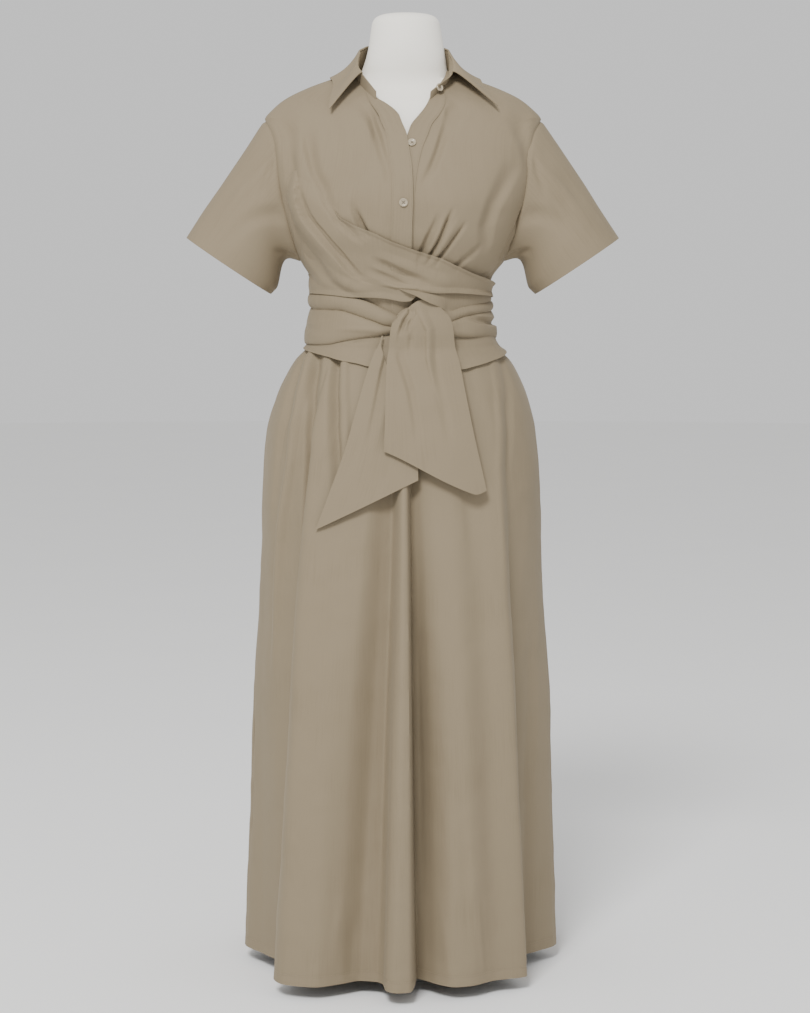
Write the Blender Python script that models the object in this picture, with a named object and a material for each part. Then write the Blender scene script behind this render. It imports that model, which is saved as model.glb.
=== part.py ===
"""Faux wrap shirt dress on a dress form, in metres, +Z up.

The dress front faces -Y and the wearer's left is at +X.  The origin is the
middle of the round base's underside.  Cloth is a wall that follows one table
of body sections, and what lies on a panel is made from the panel's points,
moved out along their normals.
"""
import math
from collections import namedtuple
from functools import lru_cache

import bmesh
import bpy
from mathutils import Vector

# ---------------------------------------------------------------- sizes
WALL = 0.0015            # cloth wall, shell and turnings together
SEAM_GAP = 0.0008        # between the two panels at a seam
EDGE_GAP = 0.0008        # at the waist and neck seams

HEM_Z = 0.020            # the hem hangs 20 mm above the floor
WAIST_Z = 0.885          # waist seam, under the sash

ARMHOLE_Z = 1.097        # middle of the armhole
ARMHOLE_HALF = 0.101     # half its height
ARMHOLE_FRONT = 19.0     # degrees that it cuts into the front
ARMHOLE_BACK = 24.0      # and into the back
ARMHOLE_STEPS = 10       # panel rows along it

BAND_WIDTH = 0.028       # button bands
BAND_GAP = 0.0010        # from a band to the panel beside it
OVERLAP_LIFT = 0.0032    # the over front lies this far out at the buttons
OVERLAP_FROM = -11.0     # from this angle
OVERLAP_TO = 8.0         # to this one
OVERLAP_FADE = 12.0      # and less on both sides of them
OVERLAP_TOP_Z = 1.200    # the fronts part above this height
OVERLAP_TOP_FADE = 0.020
STAND_END = 33.0         # degrees from the middle front to the collar stand's ends
LEAF_END = 61.0          # and to the collar's front edges
NECK_POINT_DROP = 0.005  # the fronts end this far under the side of the neck
NECK_MARGIN = 0.3        # degrees that the fronts keep off the neck seam
COLUMN_SPREAD = 0.9      # a front's columns lie a little closer at the side seam
BAND_TOP_Z = 1.2225      # where the button bands meet the collar stand
BAND_TOP_TURN = 16.0     # degrees that a band's top runs along the neck seam
BAND_TOP_DROP = 0.004    # its other rows stay this far below that seam
STAND_LEAN = 0.0015      # the collar stand leans in by this much
STAND_LEAN_Y = 0.004     # towards a line this far behind the origin
LEAF_ROLL = 0.012        # rise of the collar's roll line
LEAF_FALL = 0.020        # and of its fall, before the edge
LEAF_FALL_SHARE = 0.45   # how far back from the edge the fall starts

LIFT_LOW = 0.0033        # lowest turn of the sash, over the skirt's top
LIFT_SASH = 0.0058       # the sash's stretches to the knot
LIFT_WRAP = 0.0080       # wrap panel where it lies over them
LIFT_WRAP_TOP = 0.0040   # and where it lies on the bodice
WRAP_LEAVES_Z = 1.018    # it leaves the bodice from here
WRAP_OVER_Z = 0.973      # and is over the sash here

CUFF_CENTRE = Vector((0.2442, -0.004, 0.996))
CUFF_IN = Vector((-0.843, 0.0, -0.538))   # from its middle to its underarm end
CUFF_HALF = 0.0688
CUFF_DEPTH = 0.052
SLEEVE_LIFT = 0.0021     # the sleeve's head laps over the armhole edge
SLEEVE_ROWS = 6
SLEEVE_BULGE = 0.008

BASE_RADIUS = 0.115
BASE_HEIGHT = 0.010
BASE_EDGE = 0.0015       # the plate's bevel
POLE_RADIUS = 0.012
TOUCH = 0.0003           # from one solid piece to the next
FORM_BOTTOM_Z = 0.500

BUTTON_RADIUS = 0.0058
BUTTON_HEIGHT = 0.0022
BUTTON_GAP = 0.0005
BUTTON_1 = (0.0008, 1.0784)    # x and z of the button on the over band
BUTTON_2 = (0.0136, 1.1597)    # and of the one on the under band
TOP_BUTTON_TURN = 7.0          # degrees from the stand's end to the top button
TOP_BUTTON_RISE = 0.55         # share of the stand's height
TOP_BUTTON_OUT = Vector((0.62, -0.75, 0.25)).normalized()
TOP_BUTTON_GAP = 0.0014

# colours, as sRGB hex
CLOTH = "#978C77"
FORM_COVER = "#E8E5DA"
STEEL = "#8F8F8C"
SHELL_BUTTON = "#D8CFBE"

# ---------------------------------------------------------------- tables
# The dress, a level section at each height: half its width, its depth in
# front of and behind the middle, and how square it is (2 is an ellipse).
Section = namedtuple("Section", "z half_width front back squareness centre")
FIGURE = [
    Section(0.020, 0.2245, 0.190, 0.190, 2.9, -0.0030),
    Section(0.200, 0.2165, 0.183, 0.180, 2.8, -0.0030),
    Section(0.380, 0.2110, 0.172, 0.170, 2.7, -0.0030),
    Section(0.580, 0.1985, 0.153, 0.156, 2.6, -0.0030),
    Section(0.700, 0.1945, 0.138, 0.147, 2.5, -0.0030),
    Section(0.760, 0.1890, 0.130, 0.140, 2.5, -0.0030),
    Section(0.810, 0.1750, 0.121, 0.130, 2.4, -0.0030),
    Section(0.845, 0.1590, 0.111, 0.116, 2.4, -0.0030),
    Section(0.865, 0.1470, 0.105, 0.106, 2.4, -0.0030),
    Section(0.885, 0.1290, 0.098, 0.094, 2.4, -0.0030),
    Section(0.930, 0.1200, 0.096, 0.088, 2.4, -0.0030),
    Section(0.960, 0.1205, 0.101, 0.092, 2.4, -0.0030),
    Section(0.980, 0.1270, 0.108, 0.096, 2.4, -0.0025),
    Section(1.004, 0.1430, 0.118, 0.100, 2.4, -0.0010),
    Section(1.040, 0.1600, 0.130, 0.105, 2.4, 0.0),
    Section(1.075, 0.1740, 0.132, 0.109, 2.4, 0.0),
    Section(1.110, 0.1860, 0.124, 0.111, 2.4, 0.0),
    Section(1.150, 0.1930, 0.105, 0.111, 2.4, 0.0),
    Section(1.185, 0.1950, 0.084, 0.103, 2.3, 0.0),
    Section(1.199, 0.1925, 0.0745, 0.098, 2.3, 0.0),
    Section(1.2125, 0.1810, 0.065, 0.0935, 2.3, 0.0),
    Section(1.2266, 0.1635, 0.052, 0.088, 2.3, 0.0),
    Section(1.2406, 0.1350, 0.037, 0.082, 2.3, 0.0),
    Section(1.2548, 0.0970, 0.023, 0.0745, 2.2, 0.0),
    Section(1.2680, 0.0605, 0.010, 0.068, 2.1, 0.0),
    Section(1.2780, 0.0500, 0.004, 0.064, 2.1, 0.0),
]

# The form inside it, in the same terms.
FORM = [
    Section(0.500, 0.148, 0.100, 0.108, 2.3, -0.003),
    Section(0.560, 0.158, 0.103, 0.114, 2.3, -0.003),
    Section(0.640, 0.163, 0.105, 0.120, 2.3, -0.003),
    Section(0.730, 0.154, 0.101, 0.117, 2.3, -0.003),
    Section(0.800, 0.138, 0.094, 0.104, 2.3, -0.003),
    Section(0.885, 0.112, 0.084, 0.080, 2.3, -0.003),
    Section(0.930, 0.108, 0.084, 0.078, 2.3, -0.003),
    Section(0.965, 0.111, 0.090, 0.083, 2.3, -0.002),
    Section(1.000, 0.126, 0.105, 0.089, 2.3, -0.001),
    Section(1.050, 0.146, 0.117, 0.096, 2.3, 0.0),
    Section(1.100, 0.158, 0.112, 0.101, 2.3, 0.0),
    Section(1.150, 0.169, 0.094, 0.101, 2.3, 0.0),
    Section(1.185, 0.172, 0.076, 0.095, 2.3, 0.0),
    Section(1.199, 0.1715, 0.0685, 0.092, 2.3, 0.0),
    Section(1.2125, 0.1680, 0.0600, 0.0890, 2.3, 0.0),
    Section(1.2266, 0.1605, 0.0490, 0.0845, 2.3, 0.0),
    Section(1.2406, 0.1200, 0.0310, 0.0770, 2.3, 0.0),
    Section(1.2548, 0.0600, 0.0300, 0.0640, 2.0, 0.0),
    Section(1.2700, 0.0520, 0.036, 0.056, 2.0, 0.0),
    Section(1.3000, 0.0525, 0.041, 0.054, 2.0, 0.0),
    Section(1.3380, 0.0540, 0.043, 0.054, 2.0, 0.0),
    Section(1.3430, 0.0500, 0.039, 0.050, 2.0, 0.0),
    Section(1.3450, 0.0300, 0.024, 0.030, 2.0, 0.0),
]

# The neck seam, where the collar stand is sewn on, and how high the stand is.
NeckPoint = namedtuple("NeckPoint", "angle z stand")
NECK = [
    NeckPoint(33.0, 1.2225, 0.010),
    NeckPoint(45.0, 1.2320, 0.015),
    NeckPoint(60.0, 1.2440, 0.018),
    NeckPoint(90.0, 1.2670, 0.025),
    NeckPoint(130.0, 1.2735, 0.028),
    NeckPoint(180.0, 1.2760, 0.028),
]

# The collar leaf's outer edge: where it lies over the bodice, and how far out.
LeafEdge = namedtuple("LeafEdge", "angle z lift")
LEAF = [
    LeafEdge(59.0, 1.2070, 0.0105),
    LeafEdge(75.0, 1.2300, 0.0075),
    LeafEdge(90.0, 1.2520, 0.0060),
    LeafEdge(120.0, 1.2500, 0.0055),
    LeafEdge(150.0, 1.2420, 0.0055),
    LeafEdge(180.0, 1.2380, 0.0055),
]

# Front edges: the over front's from the viewer's left, the under front's.
EdgePoint = namedtuple("EdgePoint", "z over under")
FRONT_EDGES = [
    EdgePoint(0.885, 0.0120, -0.0140),
    EdgePoint(1.020, 0.0117, -0.0140),
    EdgePoint(1.090, 0.0135, -0.0120),
    EdgePoint(1.120, 0.0126, -0.0090),
    EdgePoint(1.152, 0.0082, -0.0020),
    EdgePoint(1.172, 0.0048, 0.0060),
    EdgePoint(1.186, 0.0000, 0.0118),
    EdgePoint(1.197, -0.0045, 0.0180),
    EdgePoint(1.2175, -0.0180, 0.0325),
    EdgePoint(1.2225, -0.0355, 0.0355),
    EdgePoint(1.2450, -0.0550, 0.0550),
]

# Long skirt folds.  The angle runs from the middle front, the half width is
# in degrees, and the heights are out (+) or in (-) at the top, halfway, hem.
SkirtFold = namedtuple("SkirtFold", "angle_top angle_hem half_width top middle hem")
SKIRT_FOLDS = [
    SkirtFold(-1.0, -1.5, 8.0, 0.000, 0.014, 0.034),      # middle ridge
    SkirtFold(7.0, 10.5, 6.5, 0.000, -0.011, -0.020),     # deep valley beside it
    SkirtFold(-11.0, -17.6, 9.0, 0.000, -0.007, -0.013),  # soft valley
    SkirtFold(-27.0, -32.0, 9.0, 0.001, 0.004, 0.016),
    SkirtFold(-33.0, -24.0, 5.5, 0.003, 0.000, 0.000),    # crisp pleat at the waist
    SkirtFold(-42.0, -36.0, 6.0, -0.003, 0.000, 0.000),
    SkirtFold(-50.0, -45.0, 8.5, 0.004, 0.014, 0.026),    # left fold edge
    SkirtFold(-58.0, -65.0, 9.5, -0.004, -0.017, -0.036),
    SkirtFold(-67.0, -80.0, 7.0, 0.003, 0.006, 0.004),
    SkirtFold(25.0, 22.0, 10.0, 0.002, 0.004, 0.007),
    SkirtFold(38.0, 34.0, 7.0, 0.000, -0.004, -0.006),
    SkirtFold(54.0, 49.0, 8.5, 0.002, 0.010, 0.010),      # right fold edge
    SkirtFold(66.0, 68.0, 10.5, -0.001, -0.014, -0.038),
    SkirtFold(104.0, 106.0, 11.0, 0.002, -0.010, -0.028),
    SkirtFold(118.0, 123.0, 10.0, 0.003, 0.012, 0.024),
    SkirtFold(131.0, 138.0, 8.0, -0.003, -0.010, -0.018),
    SkirtFold(145.0, 152.0, 10.0, 0.004, 0.013, 0.024),
    SkirtFold(160.0, 166.0, 8.0, -0.003, -0.010, -0.020),
    SkirtFold(176.0, 181.0, 11.0, 0.004, 0.015, 0.030),
    SkirtFold(192.0, 196.0, 8.0, -0.003, -0.012, -0.022),
    SkirtFold(206.0, 211.0, 10.0, 0.004, 0.012, 0.022),
    SkirtFold(221.0, 224.0, 8.0, -0.003, -0.010, -0.016),
    SkirtFold(236.0, 238.0, 10.0, 0.003, 0.012, 0.026),
    SkirtFold(253.0, 254.0, 11.0, -0.001, -0.010, -0.030),
]

# Folds in the bodice, wrap and sash: a line from one place to another, with
# its half width in metres and its height at both ends.
Fold = namedtuple("Fold", "angle_a z_a angle_b z_b half_width height_a height_b")
LEFT_FRONT_FOLDS = [
    Fold(21.2, 1.072, 12.0, 1.012, 0.010, 0.001, 0.005),
    Fold(29.5, 1.078, 18.4, 1.006, 0.008, 0.001, 0.006),
    Fold(36.5, 1.060, 24.0, 1.002, 0.008, 0.001, 0.005),
    Fold(48.5, 1.030, 36.0, 0.993, 0.009, 0.001, 0.004),
]
RIGHT_FRONT_FOLDS = [
    Fold(-33.0, 1.105, -23.0, 1.038, 0.009, 0.001, 0.005),
    Fold(-44.0, 1.180, -50.0, 1.150, 0.012, 0.001, 0.003),
]
WRAP_FOLDS = [
    Fold(-58.0, 1.128, -47.0, 1.044, 0.012, 0.003, 0.006),
    Fold(-47.0, 1.044, -26.0, 0.970, 0.012, 0.006, 0.003),
    Fold(-68.0, 1.070, -58.0, 0.990, 0.012, 0.003, 0.003),
    Fold(-58.0, 0.990, -30.0, 0.955, 0.009, 0.003, 0.002),
    Fold(-30.0, 1.048, 10.0, 1.004, 0.008, 0.002, 0.004),
    Fold(10.0, 1.004, 60.0, 0.968, 0.007, 0.004, 0.002),
]
SASH_LOW_FOLDS = [
    Fold(-9.0, 0.905, 7.0, 0.905, 0.032, 0.0042, 0.0042),   # over the button band
]
SASH_LEFT_FOLDS = [
    Fold(-88.0, 0.944, -30.0, 0.941, 0.009, 0.003, 0.004),
    Fold(-30.0, 0.941, -6.0, 0.921, 0.009, 0.004, 0.001),
    Fold(-88.0, 0.912, -40.0, 0.914, 0.010, 0.003, 0.004),
    Fold(-88.0, 0.895, -50.0, 0.895, 0.005, 0.003, 0.002),
]
SASH_RIGHT_FOLDS = [
    Fold(20.0, 0.931, 88.0, 0.938, 0.006, 0.003, 0.003),
    Fold(20.0, 0.913, 60.0, 0.917, 0.008, 0.004, 0.004),
    Fold(60.0, 0.928, 88.0, 0.921, 0.007, 0.002, 0.003),
    Fold(60.0, 0.904, 88.0, 0.901, 0.005, 0.002, 0.004),
]
SASH_BACK_FOLDS = [
    Fold(92.0, 0.944, 268.0, 0.944, 0.008, 0.003, 0.003),
    Fold(92.0, 0.921, 268.0, 0.926, 0.007, 0.003, 0.003),
    Fold(92.0, 0.900, 268.0, 0.902, 0.007, 0.003, 0.003),
]

# Pieces that lie round the waist: their lower and upper edges by angle.
Strip = namedtuple("Strip", "angle low high")
WRAP_FRONT = [
    Strip(-90.0, 0.9570, 0.9920),
    Strip(-84.0, 0.9560, 0.9940),
    Strip(-79.0, 0.9555, 1.0020),
    Strip(-75.0, 0.9555, 1.0180),
    Strip(-72.0, 0.9550, 1.0360),
    Strip(-68.5, 0.9550, 1.0760),
    Strip(-65.0, 0.9550, 1.1100),
    Strip(-58.9, 0.9550, 1.1290),
    Strip(-48.4, 0.9550, 1.1100),
    Strip(-39.3, 0.9545, 1.0850),
    Strip(-32.3, 0.9545, 1.0600),
    Strip(-26.0, 0.9550, 1.0490),
    Strip(-9.8, 0.9540, 1.0325),
    Strip(5.0, 0.9640, 1.0200),
    Strip(22.4, 0.9620, 1.0065),
    Strip(34.2, 0.9610, 0.9970),
    Strip(57.0, 0.9565, 0.9810),
    Strip(74.0, 0.9515, 0.9720),
    Strip(90.0, 0.9510, 0.9680),
]
SASH_LEFT = [
    Strip(-90.0, 0.8860, 0.9630),
    Strip(-75.5, 0.8885, 0.9630),
    Strip(-57.0, 0.8870, 0.9630),
    Strip(-47.0, 0.8885, 0.9630),
    Strip(-37.0, 0.8946, 0.9580),
    Strip(-25.5, 0.8984, 0.9480),
    Strip(-14.3, 0.9011, 0.9370),
    Strip(-2.0, 0.9060, 0.9270),
]
SASH_RIGHT = [
    Strip(5.0, 0.9060, 0.9400),
    Strip(12.0, 0.9060, 0.9480),
    Strip(31.4, 0.8990, 0.9680),
    Strip(45.0, 0.8968, 0.9680),
    Strip(65.0, 0.9003, 0.9620),
    Strip(90.0, 0.8930, 0.9580),
]
SASH_LOW = [
    Strip(-90.0, 0.8790, 0.8980),
    Strip(-63.0, 0.8728, 0.9010),
    Strip(-50.0, 0.8684, 0.9030),
    Strip(-40.5, 0.8642, 0.9050),
    Strip(-25.0, 0.8564, 0.8995),
    Strip(-16.0, 0.8540, 0.8980),
    Strip(10.0, 0.8510, 0.8990),
    Strip(25.0, 0.8515, 0.8985),
    Strip(38.9, 0.8527, 0.9050),
    Strip(55.8, 0.8623, 0.9080),
    Strip(71.9, 0.8685, 0.9060),
    Strip(90.0, 0.8740, 0.9030),
]
SASH_BACK = [
    Strip(90.0, 0.8840, 0.9650),
    Strip(180.0, 0.8800, 0.9690),
    Strip(270.0, 0.8840, 0.9650),
]

# The sash's free ends, seen from the front, from the knot down: both edges,
# and how far each level hangs out from the skirt.
TailRow = namedtuple("TailRow", "left_x left_z right_x right_z out")
TAIL_FRONT = [
    TailRow(0.0000, 0.9490, 0.0040, 0.9620, 0.0122),
    TailRow(0.0070, 0.9450, 0.0188, 0.9520, 0.0230),
    TailRow(0.0010, 0.9370, 0.0387, 0.9420, 0.0330),
    TailRow(-0.0066, 0.9274, 0.0553, 0.9340, 0.0348),
    TailRow(-0.0133, 0.9193, 0.0630, 0.9260, 0.0348),
    TailRow(-0.0167, 0.9033, 0.0680, 0.9120, 0.0330),
    TailRow(-0.0195, 0.8845, 0.0699, 0.8966, 0.0280),
    TailRow(-0.0222, 0.8604, 0.0754, 0.8684, 0.0210),
    TailRow(-0.0235, 0.8200, 0.0850, 0.8230, 0.0150),
    TailRow(-0.0245, 0.7800, 0.0960, 0.7700, 0.0130),
    TailRow(-0.0258, 0.7450, 0.1120, 0.6900, 0.0120),
]
TAIL_REAR = [
    TailRow(-0.0220, 0.9060, 0.0100, 0.9040, 0.0115),
    TailRow(-0.0290, 0.8980, 0.0080, 0.8920, 0.0120),
    TailRow(-0.0355, 0.8880, 0.0060, 0.8800, 0.0120),
    TailRow(-0.0420, 0.8720, 0.0040, 0.8600, 0.0110),
    TailRow(-0.0490, 0.8500, 0.0100, 0.8250, 0.0078),
    TailRow(-0.0633, 0.8010, 0.0160, 0.7850, 0.0062),
    TailRow(-0.0789, 0.7456, 0.0190, 0.7500, 0.0056),
    TailRow(-0.0987, 0.6913, 0.0205, 0.7180, 0.0054),
    TailRow(-0.1187, 0.6383, 0.0207, 0.7060, 0.0056),
]
TAIL_CORNER_DROP = 0.013     # the front tail's rounded lower corner
TAIL_CORNER_AT = 0.87

KNOT_CENTRE = Vector((0.018, -0.1156, 0.9215))
KNOT_RADII = Vector((0.031, 0.0128, 0.0200))
KNOT_RIDGES = 5.0            # folds round the knot
KNOT_RIDGE = 0.06            # and their height, as a share of its size

FOLD_START = 0.03            # the skirt's folds start in this share of its height
NORMAL_TURN = 0.8            # degrees to each side that give the cloth's normal
NORMAL_STEP = 0.002          # metres up and down, likewise
SOLVE_STEPS = 12             # halvings that find the angle of an x


# ---------------------------------------------------------------- surface
def between(rows, along, column, at):
    """Smooth, never overshooting value of a table's column at a place."""
    places = [getattr(row, along) for row in rows]
    values = [getattr(row, column) for row in rows]
    if at <= places[0]:
        return values[0]
    if at >= places[-1]:
        return values[-1]
    i = max(k for k in range(len(rows) - 1) if places[k] <= at)

    def secant(k):
        return (values[k + 1] - values[k]) / (places[k + 1] - places[k])

    def tangent(k):
        if k == 0:
            return secant(0)
        if k == len(rows) - 1:
            return secant(k - 1)
        before, after = secant(k - 1), secant(k)
        return 0.0 if before * after <= 0 else 2 * before * after / (before + after)

    span = places[i + 1] - places[i]
    t = (at - places[i]) / span
    rise = tangent(i) * t * (1 - t) ** 2 + tangent(i + 1) * t * t * (t - 1)
    return values[i] * (1 + 2 * t) * (1 - t) ** 2 + values[i + 1] * t * t * (3 - 2 * t) + span * rise


@lru_cache(maxsize=None)
def section(rows_name, z):
    rows = FIGURE if rows_name == "figure" else FORM
    return Section(z, *[between(rows, "z", name, z) for name in Section._fields[1:]])


def bump(t):
    """A soft ridge: 1 at its middle, 0 from t = 1 on."""
    return (1 - t * t) ** 2 if abs(t) < 1 else 0.0


@lru_cache(maxsize=None)
def skirt_fold(angle, z):
    """How far the skirt's folds stand out at an angle in degrees."""
    if z > WAIST_Z:
        return 0.0
    down = (WAIST_Z - z) / (WAIST_Z - HEM_Z)
    total = 0.0
    for fold in SKIRT_FOLDS:
        middle = fold.angle_top + (fold.angle_hem - fold.angle_top) * down
        away = (angle - middle + 180.0) % 360.0 - 180.0
        if abs(away) < fold.half_width:
            if down < 0.5:
                height = fold.top + (fold.middle - fold.top) * down * 2
            else:
                height = fold.middle + (fold.hem - fold.middle) * (down * 2 - 1)
            total += height * bump(away / fold.half_width)
    return total * min(1.0, down / FOLD_START)


def ring_point(rows_name, angle, z, out=0.0):
    """A point of a level section, at an angle in degrees from the middle front."""
    row = section(rows_name, round(z, 6))
    turn = math.radians(angle)
    depth = row.front if math.cos(turn) > 0 else row.back
    n = row.squareness
    radius = (abs(math.sin(turn) / row.half_width) ** n + abs(math.cos(turn) / depth) ** n) ** (-1 / n)
    radius += out
    return Vector((row.centre + radius * math.sin(turn), -radius * math.cos(turn), z))


def dress_point(angle, z, lift=0.0):
    """A point of the dress, moved out by a lift along the cloth's normal."""
    point = ring_point("figure", angle, z, skirt_fold(round(angle, 4), round(z, 5)))
    if not lift:
        return point
    across = ring_point("figure", angle + NORMAL_TURN, z) - ring_point("figure", angle - NORMAL_TURN, z)
    up = ring_point("figure", angle, z + NORMAL_STEP) - ring_point("figure", angle, z - NORMAL_STEP)
    return point + across.cross(up).normalized() * lift


def front_angle(x, z):
    """The angle at which the dress front passes a given x."""
    angle = 0.0
    for _ in range(SOLVE_STEPS):
        point = dress_point(angle, z)
        centre = section("figure", round(z, 6)).centre
        reach = (x - centre) / math.hypot(point.x - centre, point.y)
        angle = 0.5 * angle + 0.5 * math.degrees(math.asin(max(-0.999, min(0.999, reach))))
    return angle


def ease(t):
    """0 up to t = 0, 1 from t = 1 on, smooth between."""
    t = max(0.0, min(1.0, t))
    return t * t * (3 - 2 * t)


def over_lift(angle, z):
    """How far out the over front lies where it laps over the under front."""
    outside = max(0.0, OVERLAP_FROM - angle, angle - OVERLAP_TO)
    below = ease(1 - (z - OVERLAP_TOP_Z) / OVERLAP_TOP_FADE)
    return OVERLAP_LIFT * ease(1 - outside / OVERLAP_FADE) * below


def relief(folds, angle, z):
    """Height of a set of folds at a place, measured across each fold line."""
    row = section("figure", round(z, 6))
    metres = math.radians(1.0) * 0.5 * (row.half_width + row.front)
    total = 0.0
    for fold in folds:
        run = Vector(((fold.angle_b - fold.angle_a) * metres, fold.z_b - fold.z_a))
        here = Vector(((angle - fold.angle_a) * metres, z - fold.z_a))
        along = max(0.0, min(1.0, here.dot(run) / run.length_squared))
        away = (here - run * along).length / fold.half_width
        total += (fold.height_a + (fold.height_b - fold.height_a) * along) * bump(away)
    return total


# ---------------------------------------------------------------- building
def linear(hex_colour):
    """sRGB hex to Blender's linear colour."""
    values = [int(hex_colour[i:i + 2], 16) / 255 for i in (1, 3, 5)]
    return [v / 12.92 if v <= 0.04045 else ((v + 0.055) / 1.055) ** 2.4 for v in values] + [1.0]


def finish(name, bm, colour, roughness=0.85, metallic=0.0, wall=None):
    """Turn a bmesh into a named object with its own material, walled if asked."""
    mesh = bpy.data.meshes.new(name)
    bm.to_mesh(mesh)
    bm.free()
    mesh.shade_smooth()
    piece = bpy.data.objects.new(name, mesh)
    bpy.context.scene.collection.objects.link(piece)
    material = bpy.data.materials.new(name)
    material.use_nodes = True
    surface = material.node_tree.nodes["Principled BSDF"]
    surface.inputs["Base Color"].default_value = linear(colour)
    surface.inputs["Roughness"].default_value = roughness
    surface.inputs["Metallic"].default_value = metallic
    mesh.materials.append(material)
    if wall:
        solidify = piece.modifiers.new("wall", "SOLIDIFY")
        solidify.thickness = wall
        solidify.offset = 0.0
        solidify.use_even_offset = False
    return piece


def panel(name, place, columns, rows, tube=False):
    """A cloth wall on a grid; place(u, w) gives the point for 0..1 both ways."""
    bm = bmesh.new()
    bmesh.ops.create_grid(bm, x_segments=columns, y_segments=rows, size=0.5)
    for vert in bm.verts:
        vert.co = place(vert.co.x + 0.5, vert.co.y + 0.5)
    if tube:
        bmesh.ops.remove_doubles(bm, verts=bm.verts, dist=1e-6)
    return finish(name, bm, CLOTH, wall=WALL)


def stack(name, rings, colour, roughness=0.8, metallic=0.0):
    """A closed solid through rings of points, from the bottom ring up."""
    bm = bmesh.new()
    bmesh.ops.create_circle(bm, segments=len(rings[0]), radius=1.0)
    edges = list(bm.edges)
    ring = list(bm.verts)
    for vert, point in zip(ring, rings[0]):
        vert.co = point
    bmesh.ops.contextual_create(bm, geom=edges)
    for points in rings[1:]:
        grown = bmesh.ops.extrude_edge_only(bm, edges=edges)["geom"]
        verts = {v for v in grown if isinstance(v, bmesh.types.BMVert)}
        edges = [e for e in grown if isinstance(e, bmesh.types.BMEdge) and set(e.verts) <= verts]
        partner = []
        for vert in ring:
            partner.append(next(e.other_vert(vert) for e in vert.link_edges if e.other_vert(vert) in verts))
        for vert, point in zip(partner, points):
            vert.co = point
        ring = partner
    bmesh.ops.contextual_create(bm, geom=edges)
    bmesh.ops.recalc_face_normals(bm, faces=bm.faces)
    return finish(name, bm, colour, roughness, metallic)


def disc_rings(profile, sides):
    """Rings of a turned piece, from (radius, z) pairs, bottom first."""
    turns = [math.tau * i / sides for i in range(sides)]
    return [
        [Vector((r * math.cos(t), r * math.sin(t), z)) for t in turns]
        for r, z in profile
    ]


def even(low, high, steps):
    """Steps + 1 even values."""
    return [low + (high - low) * i / steps for i in range(steps + 1)]


# ---------------------------------------------------------------- bodice
def armhole_angle(z, cut):
    """Degrees from the middle front to the armhole edge or side seam."""
    reach = (z - ARMHOLE_Z) / ARMHOLE_HALF
    return 90.0 - cut * math.sqrt(max(0.0, 1.0 - reach * reach))


def armhole_rows():
    """Heights of the rows along the armhole, closer at its ends."""
    return [
        ARMHOLE_Z - ARMHOLE_HALF * math.cos(math.pi * i / ARMHOLE_STEPS)
        for i in range(ARMHOLE_STEPS + 1)
    ]


def neck_angle(z):
    """Degrees from the middle front to the neck seam at a height."""
    if z <= NECK[0].z:
        return 0.0
    return between(NECK[:4], "z", "angle", z)


def neck_turn(angle):
    """Angle folded onto one side of the neck, 0 at the front, 180 behind."""
    angle = abs(angle) % 360.0
    return min(angle, 360.0 - angle)


SIDE_NECK_Z = NECK[3].z
SHOULDER_ROWS = [1.2125, 1.2225, 1.2330, 1.2440, 1.2560, SIDE_NECK_Z - NECK_POINT_DROP]
BODICE_ROWS = even(WAIST_Z + EDGE_GAP, ARMHOLE_Z - ARMHOLE_HALF, 5) + armhole_rows()[1:] + SHOULDER_ROWS


def seam_turn(angle, z):
    """Half a seam's gap, in degrees at the dress's radius there."""
    point = ring_point("figure", angle, z)
    return math.degrees(SEAM_GAP / 2 / math.hypot(point.x, point.y))


def front_panel(name, side, folds):
    """One front, from its button band to the side seam; side is -1 or 1."""
    over = side < 0

    def place(u, w):
        z = BODICE_ROWS[round(w * (len(BODICE_ROWS) - 1))]
        edge = between(FRONT_EDGES, "z", "over" if over else "under", z)
        inner = abs(front_angle(edge + side * (BAND_WIDTH + BAND_GAP), min(z, BAND_TOP_Z)))
        inner = max(inner, neck_angle(z) + NECK_MARGIN)
        outer = armhole_angle(z, ARMHOLE_FRONT)
        outer -= seam_turn(outer, z)
        angle = side * (inner + (outer - inner) * u ** COLUMN_SPREAD)
        lift = relief(folds, angle, z) + (over_lift(angle, z) if over else 0.0)
        return dress_point(angle, z, lift)

    return panel(name, place, columns=11, rows=len(BODICE_ROWS) - 1)


def back_panel():
    """The back, from side seam to side seam and up to the neck."""
    def place(u, w):
        z = BODICE_ROWS[round(w * (len(BODICE_ROWS) - 1))]
        low = 180.0 - armhole_angle(z, ARMHOLE_BACK)
        low += seam_turn(low, z)
        angle = low + (360.0 - 2 * low) * u
        if w == 1.0:
            z = between(NECK, "angle", "z", neck_turn(angle)) - EDGE_GAP
        return dress_point(angle, z)

    return panel("bodice_back", place, columns=12, rows=len(BODICE_ROWS) - 1)


def button_band(name, side):
    """A band along a front edge, from the waist to the neck seam."""
    over = side < 0
    rows = even(WAIST_Z + EDGE_GAP, 1.000, 4) + even(1.000, BAND_TOP_Z, 14)[1:]

    def place(u, w):
        z = rows[round(w * (len(rows) - 1))]
        x = between(FRONT_EDGES, "z", "over" if over else "under", z) + side * BAND_WIDTH * u
        if w == 1.0:
            angle = side * (STAND_END + BAND_TOP_TURN * u)
            z = between(NECK, "angle", "z", abs(angle)) - EDGE_GAP
        else:
            angle = front_angle(x, z)
            z = min(z, between(NECK, "angle", "z", abs(angle)) - BAND_TOP_DROP)
        return dress_point(angle, z, over_lift(0.0, z) if over else 0.0)

    return panel(name, place, columns=2, rows=len(rows) - 1)


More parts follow.
